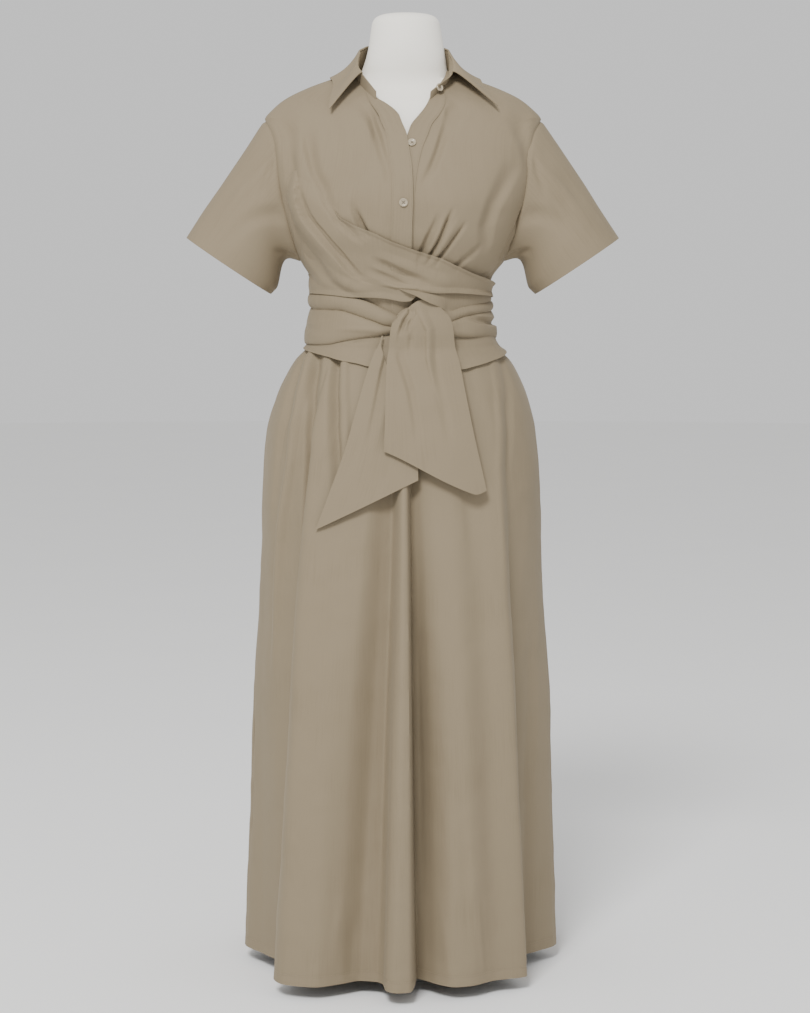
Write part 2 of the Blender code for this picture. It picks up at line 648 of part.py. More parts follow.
# ---------------------------------------------------------------- sleeves
def sleeve(name, side):
    """A short sleeve: a tube from the armhole to the cuff."""
    heights = armhole_rows()
    count = 2 * ARMHOLE_STEPS

    def place(u, w):
        j = round(u * count) % count
        front = j <= ARMHOLE_STEPS
        z = heights[j if front else count - j]
        cut = ARMHOLE_FRONT if front else -ARMHOLE_BACK
        edge = 90.0 - (90.0 - armhole_angle(z, abs(cut))) * (1 if front else -1)
        root = dress_point(side * edge, z, SLEEVE_LIFT)
        turn = math.pi * j / ARMHOLE_STEPS
        inward = Vector((CUFF_IN.x * side, CUFF_IN.y, CUFF_IN.z))
        cuff = Vector((CUFF_CENTRE.x * side, CUFF_CENTRE.y, CUFF_CENTRE.z))
        cuff += inward * (CUFF_HALF * math.cos(turn))
        cuff += Vector((0.0, -CUFF_DEPTH * math.sin(turn), 0.0))
        swell = SLEEVE_BULGE * math.sin(math.pi * w) * (1 - math.cos(turn)) / 2
        return root.lerp(cuff, w) + Vector((side * swell, 0.0, swell))

    return panel(name, place, columns=count, rows=SLEEVE_ROWS, tube=True)


# ---------------------------------------------------------------- collar
def stand_point(angle, rise):
    """A point of the collar stand, rise running from 0 at its seam to 1."""
    turn = neck_turn(angle)
    foot = dress_point(angle, between(NECK, "angle", "z", turn))
    height = between(NECK, "angle", "stand", turn)
    lean = Vector((-foot.x, -foot.y - STAND_LEAN_Y, 0.0)).normalized() * STAND_LEAN
    return foot + lean * rise + Vector((0.0, 0.0, EDGE_GAP + height * rise))


def collar_stand():
    def place(u, w):
        angle = STAND_END + (360.0 - 2 * STAND_END) * u
        return stand_point(angle, w)
    return panel("collar_stand", place, columns=30, rows=2)


def leaf_point(angle, w):
    """A point of the collar leaf, w from its fold at the stand to its edge."""
    turn = neck_turn(angle)
    share = (turn - LEAF_END) / (180.0 - LEAF_END)
    root = stand_point(angle, 1.0) + Vector((0.0, 0.0, EDGE_GAP + WALL / 2))
    edge_turn = LEAF[0].angle + (180.0 - LEAF[0].angle) * share
    signed = edge_turn if angle <= 180.0 else -edge_turn
    edge_z = between(LEAF, "angle", "z", edge_turn)
    edge = dress_point(signed, edge_z, between(LEAF, "angle", "lift", edge_turn))
    roll = root + Vector((0.0, 0.0, LEAF_ROLL))
    over = edge + (root - edge) * LEAF_FALL_SHARE + Vector((0.0, 0.0, LEAF_FALL))
    a, b, c, d = root, roll, over, edge
    k = 1 - w
    return a * k ** 3 + b * (3 * k * k * w) + c * (3 * k * w * w) + d * w ** 3


def collar_leaf():
    def place(u, w):
        angle = LEAF_END + (360.0 - 2 * LEAF_END) * u
        return leaf_point(angle, w)
    return panel("collar_leaf", place, columns=28, rows=6)


# ---------------------------------------------------------------- wrap, sash
def low_lift(angle, z):
    return LIFT_LOW


def sash_lift(angle, z):
    return LIFT_SASH


def wrap_lift(angle, z):
    """The wrap leaves the bodice as it comes down over the sash."""
    down = ease((WRAP_LEAVES_Z - z) / (WRAP_LEAVES_Z - WRAP_OVER_Z))
    return LIFT_WRAP_TOP + (LIFT_WRAP - LIFT_WRAP_TOP) * down + over_lift(angle, z) * (1 - down)


def strip(name, edges, lift, folds, columns, rows):
    """A piece round the waist between its lower and upper edge, at a lift."""
    first, last = edges[0].angle, edges[-1].angle
    first += seam_turn(first, WAIST_Z)
    last -= seam_turn(last, WAIST_Z)

    def place(u, w):
        angle = first + (last - first) * u
        low = between(edges, "angle", "low", angle)
        high = between(edges, "angle", "high", angle)
        z = low + (high - low) * w
        return dress_point(angle, z, lift(angle, z) + relief(folds, angle, z))

    return panel(name, place, columns, rows)


def tail(name, table, columns, steps, corner_drop=0.0):
    """A free end of the sash, hanging in front of the skirt."""
    rows = [row._asdict() | {"at": i} for i, row in enumerate(table)]
    Row = namedtuple("Row", list(rows[0]))
    rows = [Row(**row) for row in rows]

    def place(u, w):
        at = w * (len(rows) - 1)
        left = Vector((between(rows, "at", "left_x", at), between(rows, "at", "left_z", at)))
        right = Vector((between(rows, "at", "right_x", at), between(rows, "at", "right_z", at)))
        here = left.lerp(right, u)
        here.y -= corner_drop * max(0.0, 2 * w - 1) ** 3 * bump((u - TAIL_CORNER_AT) / TAIL_CORNER_AT)
        surface = dress_point(front_angle(here.x, here.y), here.y)
        return surface + Vector((0.0, -between(rows, "at", "out", at), 0.0))

    return panel(name, place, columns, steps)


def knot():
    """The tied knot: a rounded bundle, flattened against the waist."""
    bm = bmesh.new()
    bmesh.ops.create_uvsphere(bm, u_segments=16, v_segments=9, radius=1.0)
    for vert in bm.verts:
        ridge = 1.0 + KNOT_RIDGE * math.cos(KNOT_RIDGES * math.atan2(vert.co.z, vert.co.x))
        vert.co = KNOT_CENTRE + Vector((
            vert.co.x * KNOT_RADII.x * ridge,
            vert.co.y * KNOT_RADII.y,
            vert.co.z * KNOT_RADII.z * ridge))
    return finish("knot", bm, CLOTH)


# ---------------------------------------------------------------- skirt
SKIRT_ROWS = [WAIST_Z, 0.866, 0.847, 0.822, 0.790, 0.750, 0.700, 0.620, 0.520, 0.400, 0.270, 0.140, HEM_Z]


def skirt(name, first, last, columns):
    """Half the skirt, from side seam to side seam."""
    def place(u, w):
        z = SKIRT_ROWS[len(SKIRT_ROWS) - 1 - round(w * (len(SKIRT_ROWS) - 1))]
        low, high = first + seam_turn(first, z), last - seam_turn(last, z)
        return dress_point(low + (high - low) * u, z)
    return panel(name, place, columns, rows=len(SKIRT_ROWS) - 1)


# ---------------------------------------------------------------- trimmings
def button(name, seat, outward):
    """A round shirt button on the cloth, facing outward."""
    profile = [(0.9, 0.0), (1.0, 0.4), (0.95, 0.9), (0.84, 1.0), (0.66, 0.7)]
    frame = outward.normalized().to_track_quat("Z", "Y")
    rings = []
    for radius, rise in profile:
        ring = disc_rings([(radius * BUTTON_RADIUS, rise * BUTTON_HEIGHT)], sides=14)[0]
        rings.append([seat + frame @ point for point in ring])
    return stack(name, rings, SHELL_BUTTON, roughness=0.25)


def buttons():
    bands = {"button_1": (BUTTON_1, OVERLAP_LIFT), "button_2": (BUTTON_2, 0.0)}
    for name, ((x, z), lift) in bands.items():
        angle = front_angle(x, z)
        seat = dress_point(angle, z, lift + WALL / 2 + BUTTON_GAP)
        button(name, seat, dress_point(angle, z, 1.0) - dress_point(angle, z))
    # the top button sits on the collar stand's open end
    seat = stand_point(STAND_END + TOP_BUTTON_TURN, TOP_BUTTON_RISE)
    button("button_3", seat + TOP_BUTTON_OUT * (WALL / 2 + TOP_BUTTON_GAP), TOP_BUTTON_OUT)


# ---------------------------------------------------------------- form
def form():
    angles = even(0.0, 360.0, 24)[:-1]
    rings = [[ring_point("form", angle, row.z) for angle in angles] for row in FORM]
    stack("form_torso", rings, FORM_COVER)
    top = FORM_BOTTOM_Z - TOUCH
    bottom = BASE_HEIGHT + TOUCH
    pole = disc_rings([(POLE_RADIUS, bottom), (POLE_RADIUS, top)], sides=20)
    stack("form_pole", pole, STEEL, roughness=0.35, metallic=1.0)
    plate = [
        (BASE_RADIUS, 0.0),
        (BASE_RADIUS, BASE_HEIGHT - BASE_EDGE),
        (BASE_RADIUS - BASE_EDGE, BASE_HEIGHT),
    ]
    stack("form_base", disc_rings(plate, sides=40), STEEL, roughness=0.35, metallic=1.0)


def main():
    for old in list(bpy.data.objects):
        bpy.data.objects.remove(old, do_unlink=True)
    form()
    skirt("skirt_front", -90.0, 90.0, columns=44)
    skirt("skirt_back", 90.0, 270.0, columns=32)
    front_panel("bodice_front_right", -1, RIGHT_FRONT_FOLDS)
    front_panel("bodice_front_left", 1, LEFT_FRONT_FOLDS)
    back_panel()
    button_band("placket_right", -1)
    button_band("placket_left", 1)
    sleeve("sleeve_right", -1)
    sleeve("sleeve_left", 1)
    collar_stand()
    collar_leaf()
    strip("sash_low", SASH_LOW, low_lift, SASH_LOW_FOLDS, columns=38, rows=3)
    strip("sash_left_side", SASH_LEFT, sash_lift, SASH_LEFT_FOLDS, columns=14, rows=9)
    strip("sash_right_side", SASH_RIGHT, sash_lift, SASH_RIGHT_FOLDS, columns=13, rows=9)
    strip("sash_back", SASH_BACK, sash_lift, SASH_BACK_FOLDS, columns=24, rows=8)
    bodice_folds = RIGHT_FRONT_FOLDS + LEFT_FRONT_FOLDS
    strip("wrap_front", WRAP_FRONT, wrap_lift, WRAP_FOLDS + bodice_folds, columns=32, rows=8)
    knot()
    tail("tail_rear", TAIL_REAR, columns=6, steps=14)
    tail("tail_front", TAIL_FRONT, columns=7, steps=20, corner_drop=TAIL_CORNER_DROP)
    buttons()


main()
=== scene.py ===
# %% [markdown]
# # A faux wrap shirt dress on a dress form
# The dress is a long poplin shirt dress.  A wrap panel is caught in one side
# seam, crosses the front and ties over the button band, so that it only looks
# like a wrap dress.  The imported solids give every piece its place; this script
# gives the cloth its drape, creases, stitching and weave.

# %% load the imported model
import math
from collections import namedtuple

import bmesh
import bpy
import numpy as np
from mathutils import Matrix, Vector


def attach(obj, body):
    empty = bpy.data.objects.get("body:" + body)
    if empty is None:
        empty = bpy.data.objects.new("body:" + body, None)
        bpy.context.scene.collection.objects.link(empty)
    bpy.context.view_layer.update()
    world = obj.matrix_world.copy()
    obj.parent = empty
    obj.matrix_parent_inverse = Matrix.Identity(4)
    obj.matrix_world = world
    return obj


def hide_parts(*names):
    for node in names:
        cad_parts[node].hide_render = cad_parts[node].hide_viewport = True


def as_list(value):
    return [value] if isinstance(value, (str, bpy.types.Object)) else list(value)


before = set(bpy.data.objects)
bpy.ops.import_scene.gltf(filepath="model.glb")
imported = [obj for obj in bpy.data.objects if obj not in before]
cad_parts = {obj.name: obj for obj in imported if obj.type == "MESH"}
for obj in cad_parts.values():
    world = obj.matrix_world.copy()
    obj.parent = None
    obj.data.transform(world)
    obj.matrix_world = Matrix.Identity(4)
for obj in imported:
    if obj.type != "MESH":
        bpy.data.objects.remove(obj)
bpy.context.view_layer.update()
print("nodes:", len(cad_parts))

# %% [markdown]
# ## Sizes
# All sizes are in metres and all turns in degrees from the middle front,
# growing towards +X, the wearer's left.  They are the solids' own sizes, so a
# piece lands where its solid is.  Each is set where it is first needed.

# %% the levels that all pieces share
HEM_Z = 0.020
WAIST_Z = 0.885

# %% [markdown]
# ## The figure
# A dress on a form is a stack of level sections.  Each row below is one
# section: half its width, its depth in front and behind, and how square it is.

# %% the table of sections
def table(kind, rows):
    """Rows with a name for each of their numbers."""
    return [kind(*row) for row in rows]


Section = namedtuple("Section", "z half_width front back squareness centre")
FIGURE = table(Section, [
    (.02, .2245, .19, .19, 2.9, -.003),
    (.2, .2165, .183, .18, 2.8, -.003),
    (.38, .211, .172, .17, 2.7, -.003),
    (.58, .1985, .153, .156, 2.6, -.003),
    (.7, .1945, .138, .147, 2.5, -.003),
    (.76, .189, .13, .14, 2.5, -.003),
    (.81, .1772, .121, .13, 2.4, -.0015),
    (.845, .162, .111, .116, 2.4, -.001),
    (.865, .15, .105, .106, 2.4, -.001),
    (.885, .131, .098, .094, 2.4, -.002),
    (.93, .12, .096, .088, 2.4, -.003),
    (.96, .1205, .101, .092, 2.4, -.003),
    (.98, .127, .108, .096, 2.4, -.0025),
    (1.004, .143, .118, .1, 2.4, -.001),
    (1.04, .16, .13, .105, 2.4, 0),
    (1.075, .174, .132, .109, 2.4, 0),
    (1.11, .186, .124, .111, 2.4, 0),
    (1.15, .193, .105, .111, 2.4, 0),
    (1.185, .195, .084, .103, 2.3, 0),
    (1.199, .1925, .0745, .098, 2.3, 0),
    (1.2125, .181, .065, .0935, 2.3, 0),
    (1.2266, .1635, .052, .088, 2.3, 0),
    (1.2406, .135, .037, .082, 2.3, 0),
    (1.2548, .097, .023, .0745, 2.2, 0),
    (1.268, .0605, .01, .068, 2.1, 0),
    (1.278, .05, .004, .064, 2.1, 0),
])

# %% [markdown]
# ## Folds
# Cloth that hangs from a gathered waist breaks into folds that deepen towards
# the hem.  A fold leans: its steep side reads as a dark line.

# %% the table of folds
# Each fold line runs from the waist to the hem.  Its four angles and its four
# heights over the smooth figure, in millimetres, are at the levels below.
# Between two lines the cloth goes smoothly from one height to the next.
FOLD_LEVELS = [0.020, 0.340, 0.620, 0.885]
FoldLine = namedtuple("FoldLine", "hem low high waist out_hem out_low out_high out_waist")
FOLD_LINES = table(FoldLine, [
    (-93, -93, -93, -93, 2, 0, 1, 0),
    (-78, -80, -80, -80, -28, -17, -6, 0),
    (-67.5, -69, -71, -70, -44, -28, -10, 0),
    (-58, -57.5, -58, -60, -49, -38, -20, -2),
    (-50.8, -50, -50.5, -50, -24, -22, -14, -1),
    (-47.4, -45.8, -47, -47, 8, 6, 4, 1),
    (-39.2, -40, -42, -42, 24, 17, 10, 2),
    (-30.5, -31, -31, -30, 21, 13, 6, 1),
    (-24, -23, -19, -18, 0, 3, 3, 0),
    (-18.4, -14, -10, -8, -18, -21, -11, 0),
    (-10.9, -8.6, -5.6, -4, -14, -23, -14, 0),
    (-7.2, -5.2, -2.8, -2, -2, -6, -4, 0),
    (-5.2, -3.2, -1, -.5, 27, 18, 8, 0),
    (-1.2, .3, 1.2, 2, 37, 28, 15, 0),
    (3.3, 3.4, 3.2, 3.5, 33, 25, 13, 0),
    (5.4, 5, 4.6, 4.5, 6, -5, -3, 0),
    (7.8, 7, 6.2, 6, -29, -38, -18, 0),
    (11, 10.6, 9, 8, -22, -38, -14, 0),
    (15.5, 15, 13, 11, -2, -12, -5, 0),
    (20.5, 20.5, 18, 16, 12, 5, 1, 0),
    (25.9, 26, 26, 26, 10, 9, 4, 0),
    (39.1, 38, 38, 38, -8, -4, -2, 0),
    (48.5, 46.2, 47, 49, -2, 5, 5, 1),
    (52.3, 50.3, 50.5, 55, -14, -6, 0, 0),
    (60, 59, 60, 63, -53, -42, -19, -1),
    (73.4, 73, 73, 74, -50, -34, -11, 0),
    (80.7, 81, 82, 82, -30, -16, -4, 0),
    (92.6, 93, 93, 93, 1, 2, 2, 1),
    (106, 105.5, 105, 104, -28, -16, -6, 0),
    (123, 121, 120, 118, 24, 15, 7, 2),
    (138, 136, 134, 131, -20, -13, -6, -2),
    (152, 149, 147, 145, 24, 16, 8, 2),
    (167, 164, 162, 160, -21, -13, -6, -2),
    (181, 179, 177, 176, 30, 19, 9, 2),
    (196, 195, 193, 192, -23, -15, -7, -2),
    (211, 209, 207, 206, 22, 15, 7, 2),
    (224, 223, 222, 221, -18, -12, -5, -1),
    (239, 238, 237, 236, 26, 16, 7, 2),
    (254, 253.5, 253, 253, -30, -17, -6, 0),
    (267, 267, 267, 267, 2, 0, 1, 0),
])

# %% [markdown]
# ## Surfaces
# Every function below takes whole arrays of places, so a panel of thousands
# of points is worked out in one go.

# %% smooth values from the tables
def mean_slope(before, after):
    """The slope where two stretches meet, level where they turn."""
    same_way = before * after > 0
    total = np.where(same_way, before + after, 1.0)
    return np.where(same_way, 2 * before * after / total, 0.0)


def stretch(t, span, start, end, start_slope, end_slope):
    """A smooth stretch from one value to the next."""
    rise = start_slope * t * (1 - t) ** 2 + end_slope * t * t * (t - 1)
    return start * (1 + 2 * t) * (1 - t) ** 2 + end * t * t * (3 - 2 * t) + span * rise


def curve(places, values, at):
    """A smooth line through a few points that never overshoots them."""
    x, y = np.asarray(places, float), np.asarray(values, float)
    at = np.clip(at, x[0], x[-1])
    slope = np.diff(y) / np.diff(x)
    tangent = np.concatenate([[slope[0]], mean_slope(slope[:-1], slope[1:]), [slope[-1]]])
    i = np.clip(np.searchsorted(x, at, side="right") - 1, 0, len(x) - 2)
    span = x[i + 1] - x[i]
    return stretch((at - x[i]) / span, span, y[i], y[i + 1], tangent[i], tangent[i + 1])


def column(rows, name):
    return [getattr(row, name) for row in rows]


def between(rows, along, name, at):
    """A table's column at any places."""
    return curve(column(rows, along), column(rows, name), at)


def ease(t):
    t = np.clip(t, 0.0, 1.0)
    return t * t * (3 - 2 * t)


def grow(value, start, over):
    """Goes from 0 at the start to 1 beyond it."""
    return ease((value - start) / over)


def shrink(value, end, over):
    """Goes from 1 to 0 at the end."""
    return ease((end - value) / over)


def bump(t):
    return (1 - np.clip(np.abs(t), 0.0, 1.0) ** 2) ** 2


LATTICE = 64             # random values each way, before they repeat


def soft_noise(a, b, cell, seed):
    """Gentle unevenness from -1 to 1, the same each run."""
    lattice = np.random.default_rng(seed).uniform(-1, 1, (LATTICE, LATTICE))
    x, y = a / cell, b / cell
    i, j = np.floor(x).astype(int), np.floor(y).astype(int)
    s, t = ease(x - i), ease(y - j)

    def row(j):
        return lattice[i % LATTICE, j % LATTICE] * (1 - s) + lattice[(i + 1) % LATTICE, j % LATTICE] * s

    return row(j) * (1 - t) + row(j + 1) * t


def uneven(across, up, waves):
    """Faint waves, each with its height, size and seed."""
    return sum(height * soft_noise(across, up, size, seed) for height, size, seed in waves)

# %% the figure's surface
FOLD_START = 0.03        # the folds swell over this depth below the waist
TURN_STEP = 0.8          # steps over which the cloth's outward direction is felt
RISE_STEP = 0.002
SEEK_STEPS = 12
SEEK_LIMIT = 0.999


def ring(rows, angle, z, out=0.0):
    """Points of level sections, at angles in degrees from the middle front."""
    turn = np.radians(angle)
    half, front, back, n, centre = (between(rows, "z", name, z) for name in Section._fields[1:])
    depth = np.where(np.cos(turn) > 0, front, back)
    radius = (np.abs(np.sin(turn) / half) ** n + np.abs(np.cos(turn) / depth) ** n) ** (-1 / n) + out
    return np.stack([centre + radius * np.sin(turn), -radius * np.cos(turn), z + 0 * radius], axis=-1)


def unit(vectors):
    return vectors / np.linalg.norm(vectors, axis=-1, keepdims=True)


def skirt_fold(angle, z):
    """How far the skirt's long folds stand out."""
    angle, z = np.broadcast_arrays(angle, z)
    seam = FOLD_LINES[0].hem
    angle = (angle - seam) % 360.0 + seam
    at = [curve(FOLD_LEVELS, line[:4], z) for line in FOLD_LINES]
    out = [curve(FOLD_LEVELS, line[4:], z) / 1000.0 for line in FOLD_LINES]
    slope = [(o2 - o1) / (a2 - a1) for a1, a2, o1, o2 in zip(at, at[1:], out, out[1:])]
    tangent = [0 * z] + [mean_slope(*pair) for pair in zip(slope, slope[1:])] + [0 * z]
    height = np.zeros(angle.shape)
    for i in range(len(slope)):
        span = at[i + 1] - at[i]
        t = (angle - at[i]) / span
        here = (t >= 0) & (t < 1)
        height = np.where(here, stretch(t, span, out[i], out[i + 1], tangent[i], tangent[i + 1]), height)
    return height * shrink(z, WAIST_Z, FOLD_START)


def normals(angle, z):
    across = ring(FIGURE, angle + TURN_STEP, z) - ring(FIGURE, angle - TURN_STEP, z)
    up = ring(FIGURE, angle, z + RISE_STEP) - ring(FIGURE, angle, z - RISE_STEP)
    return unit(np.cross(across, up))


def dress(angle, z, lift=0.0):
    """Points of the dress, moved out by a lift along the cloth's normal."""
    angle, z = np.broadcast_arrays(angle, z)
    points = ring(FIGURE, angle, z, skirt_fold(angle, z))
    return points + normals(angle, z) * np.broadcast_to(lift, angle.shape)[..., None]


def front_angle(x, z):
    """The angles at which the dress front passes given x."""
    angle = np.zeros(np.broadcast(x, z).shape)
    centre = between(FIGURE, "z", "centre", z)
    for _ in range(SEEK_STEPS):
        points = ring(FIGURE, angle, z, skirt_fold(angle, z))
        reach = (x - centre) / np.hypot(points[..., 0] - centre, points[..., 1])
        angle = 0.5 * angle + 0.5 * np.degrees(np.arcsin(np.clip(reach, -SEEK_LIMIT, SEEK_LIMIT)))
    return angle


def metres(z):
    """Metres round the figure for one degree."""
    across, ahead = between(FIGURE, "z", "half_width", z), between(FIGURE, "z", "front", z)
    return math.radians(1.0) * 0.5 * (across + ahead)

# %% creases and gathers
# A crease is a line of places (across, up, share of its height), where across
# is in degrees round the figure.  It is wider on the left of its run by its
# lean, and narrower on the right.
Crease = namedtuple("Crease", "width height lean points")


def relief(creases, across, up, scale=1.0):
    """The height that a set of creases gives to places on a piece."""
    total = np.zeros(np.broadcast(across, up).shape)
    for crease in creases:
        nearest = np.full(total.shape, np.inf)
        signed = np.zeros(total.shape)
        share = np.zeros(total.shape)
        for (a_x, a_y, a_share), (b_x, b_y, b_share) in zip(crease.points, crease.points[1:]):
            run_x, run_y = (b_x - a_x) * scale, b_y - a_y
            here_x, here_y = (across - a_x) * scale, up - a_y
            t = np.clip((here_x * run_x + here_y * run_y) / (run_x ** 2 + run_y ** 2), 0.0, 1.0)
            away = np.hypot(here_x - t * run_x, here_y - t * run_y)
            side = np.sign(run_x * here_y - run_y * here_x)
            closer = away < nearest
            signed = np.where(closer, side * away, signed)
            share = np.where(closer, a_share + (b_share - a_share) * t, share)
            nearest = np.where(closer, away, nearest)
        width = crease.width * np.where(signed > 0, 1 + crease.lean, 1 - crease.lean)
        total += crease.height * share * bump(signed / width)
    return total


ROLL_FULL = 0.014        # a gather narrower than this is also lower
ROLL_POWER = 0.62
ROLL_THIN = 1e-5


def rounded(t):
    return (4 * t * (1 - t)) ** ROLL_POWER


def gathers(lines, low, high, heights, angle, z):
    """Round gathers between the strip's edges and the lines inside it."""
    levels = [low] + [curve(*zip(*line), angle) for line in lines] + [high]
    total = np.zeros(np.broadcast(angle, z).shape)
    for below, above, height in zip(levels, levels[1:], heights):
        gap = np.maximum(above - below, ROLL_THIN)
        t = np.clip((z - below) / gap, 0.0, 1.0)
        total += height * np.minimum(1.0, gap / ROLL_FULL) * rounded(t)
    return total

# %% [markdown]
# ## Making cloth
# A piece of cloth starts as a flat grid, as it is on the cutting table.  Each
# point is then put where the piece lies, and the grid gets its thickness.  The
# grid's own 0 to 1 places become UVs in metres, so the weave keeps its real
# scale on every piece.

# %% meshes and the cloth maker
CLOTH = 0.0008           # thicker than one ply of poplin, so that a cut edge shows
PLACES = {}
MATERIALS = {}
CLOTH_SHARP = 50.0       # degrees beyond which a cut edge stays crisp
WELD = 1e-5


def mesh_from(bm, name, *finishes):
    mesh = bpy.data.meshes.new(name)
    bm.to_mesh(mesh)
    bm.free()
    for finish in finishes:
        mesh.materials.append(MATERIALS[finish])
    return mesh


def shade(mesh, sharp=None):
    mesh.shade_smooth()
    if sharp:
        mesh.set_sharp_from_angle(angle=math.radians(sharp))
    return mesh


def link(name, mesh):
    piece = bpy.data.objects.new(name, mesh)
    bpy.context.scene.collection.objects.link(piece)
    return piece


def settle(piece, slot, *nodes):
    """Rides and stands for its solids; its slot is not used."""
    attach(piece, "root")
    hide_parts(*nodes)
    print(f"{piece.name}: {len(piece.data.polygons)} faces, for {nodes}")
    return piece


def thicken(piece, thickness):
    """Gives a sheet its thickness and keeps its cut edges crisp."""
    solidify = piece.modifiers.new("thickness", "SOLIDIFY")
    solidify.thickness = thickness
    solidify.offset = 0.0
    solidify.use_even_offset = False
    graph = bpy.context.evaluated_depsgraph_get()
    mesh = bpy.data.meshes.new_from_object(piece.evaluated_get(graph))
    piece.modifiers.clear()
    flat, piece.data = piece.data, mesh
    bpy.data.meshes.remove(flat)
    mesh.name = piece.name
    shade(mesh, CLOTH_SHARP)


def cloth(node, place, columns, rows, size, tube=False, thickness=CLOTH):
    """A cut piece of poplin for a node; place(u, w) puts it where it lies."""
    bm = bmesh.new()
    bm.loops.layers.uv.new("UVMap")
    bmesh.ops.create_grid(bm, x_segments=columns, y_segments=rows, size=0.5, calc_uvs=True)
    mesh = mesh_from(bm, f"{node}_cloth")
    spots = np.empty(len(mesh.vertices) * 3)
    mesh.vertices.foreach_get("co", spots)
    spots = spots.reshape(-1, 3)
    points = place(spots[:, 0] + 0.5, spots[:, 1] + 0.5)
    mesh.vertices.foreach_set("co", points.ravel())
    loops = np.empty(len(mesh.loops) * 2)
    mesh.uv_layers[0].data.foreach_get("uv", loops)
    mesh.uv_layers[0].data.foreach_set("uv", (loops.reshape(-1, 2) * np.array(size)).ravel())
    if tube:
        bm = bmesh.new()
        bm.from_mesh(mesh)
        bmesh.ops.remove_doubles(bm, verts=bm.verts, dist=WELD)
        bm.to_mesh(mesh)
        bm.free()
    area = sum(face.area for face in mesh.polygons)
    piece = link(mesh.name, mesh)
    thicken(piece, thickness)
    piece.data.materials.append(MATERIALS["poplin"])
    PLACES[node] = place
    print(f"{area:.4f} m2 of cloth")
    return settle(piece, "poplin", node)

# %% stitching
STITCH = 0.0024          # a stitch shows this much thread
STITCH_PITCH = 0.0034
THREAD_RADIUS = 0.00022
HEM_STITCH_LIFT = 0.0005
BAND_STITCH_LIFT = 0.0007
SEAM_SAMPLES = 400
SEAM_STEP = 2e-3


def along_piece(node, start, end):
    """Points and outward normals along a line across a piece, in its 0..1 grid."""
    place = PLACES[node]
    t = np.linspace(0.0, 1.0, SEAM_SAMPLES)
    u = start[0] + (end[0] - start[0]) * t
    w = start[1] + (end[1] - start[1]) * t
    across = place(u + SEAM_STEP, w) - place(u - SEAM_STEP, w)
    up = place(u, w + SEAM_STEP) - place(u, w - SEAM_STEP)
    return place(u, w), unit(np.cross(across, up))


def on_run(at, run, values):
    return np.array([np.interp(at, run, values[:, k]) for k in range(3)])


def rod(bm, radius, length, segments, place):
    """A short closed cylinder; gives back its faces."""
    made = bmesh.ops.create_cone(
        bm, segments=segments, radius1=radius, radius2=radius, depth=length, cap_ends=True, matrix=place)
    return {face for vert in made["verts"] for face in vert.link_faces}


def stitches(name, node, lines, flip=False, lift=HEM_STITCH_LIFT):
    """Rows of machine stitches on a piece, joined into one mesh."""
    bm = bmesh.new()
    for start, end in lines:
        points, outward = along_piece(node, start, end)
        if flip:
            outward = -outward
        run = np.concatenate([[0.0], np.cumsum(np.linalg.norm(np.diff(points, axis=0), axis=1))])
        for at in np.arange(STITCH_PITCH / 2, run[-1] - STITCH, STITCH_PITCH):
            ends = [on_run(at + d, run, points) for d in (0.0, STITCH)]
            middle = Vector((ends[0] + ends[1]) / 2 + on_run(at, run, outward) * lift)
            turn = Vector(ends[1] - ends[0]).to_track_quat("Z", "Y").to_matrix().to_4x4()
            rod(bm, THREAD_RADIUS, STITCH, 5, Matrix.Translation(middle) @ turn)
    mesh = shade(mesh_from(bm, name, "thread"))
    return settle(link(name, mesh), "poplin", node)

# %% [markdown]
# ## Materials
# Colours are written as sRGB hex and turned linear by one function.  Patterns
# are sized from real millimetres.

# %% colours, as sRGB hex
POPLIN = "#82755F"
POPLIN_DEEP = "#7D705A"
BLOOM = "#D8CFBC"
FORM_COVER = "#F4F0E6"
FORM_SHADE = "#EEEADF"
STEEL = "#8F8F8C"
SHELL = "#A89C86"
SHELL_DARK = "#7F735D"
THREAD = "#8A7E66"
# the crossed thread's colour, also used for the painted shade of the button holes
BUTTON_THREAD_AND_HOLE_SHADE = "#5A5040"
FLOOR = "#F8F8F7"
FLOOR_SHADE = "#F5F5F4"

# %% material helpers
def linear(hex_colour):
    """sRGB hex to linear RGBA."""
    values = [int(hex_colour[i:i + 2], 16) / 255 for i in (1, 3, 5)]
    return [v / 12.92 if v <= 0.04045 else ((v + 0.055) / 1.055) ** 2.4 for v in values] + [1.0]


def material(name):
    made = bpy.data.materials.new(name)
    made.use_nodes = True
    MATERIALS[name] = made
    return made.node_tree, made.node_tree.nodes["Principled BSDF"]


def sockets(node, **values):
    for key, value in values.items():
        node.inputs[key.replace("_", " ")].default_value = value


def add(tree, kind, links=(), stops=(), **values):
    """Adds a node, sets its sockets, settings and colour stops, and links sources to it."""
    node = tree.nodes.new("ShaderNode" + kind)
    for i, (place, colour) in enumerate(stops):
        node.color_ramp.elements[i].position = place
        node.color_ramp.elements[i].color = colour
    for key, value in values.items():
        if hasattr(node, key):
            setattr(node, key, value)
        else:
            sockets(node, **{key: value})
    for socket, source in dict(links).items():
        tree.links.new(source, node.inputs[socket])
    return node


def per_metre(millimetres):
    """Noise scale for features of that size."""
    return 1000.0 / millimetres

# %% poplin: a tight plain weave of cotton, matt with a faint bloom
WARP = 0.00028           # from one warp thread to the next
WEFT = 0.00042           # the weft is thicker
WAVE_SCALE = 0.314       # a wave texture's scale times its wave length


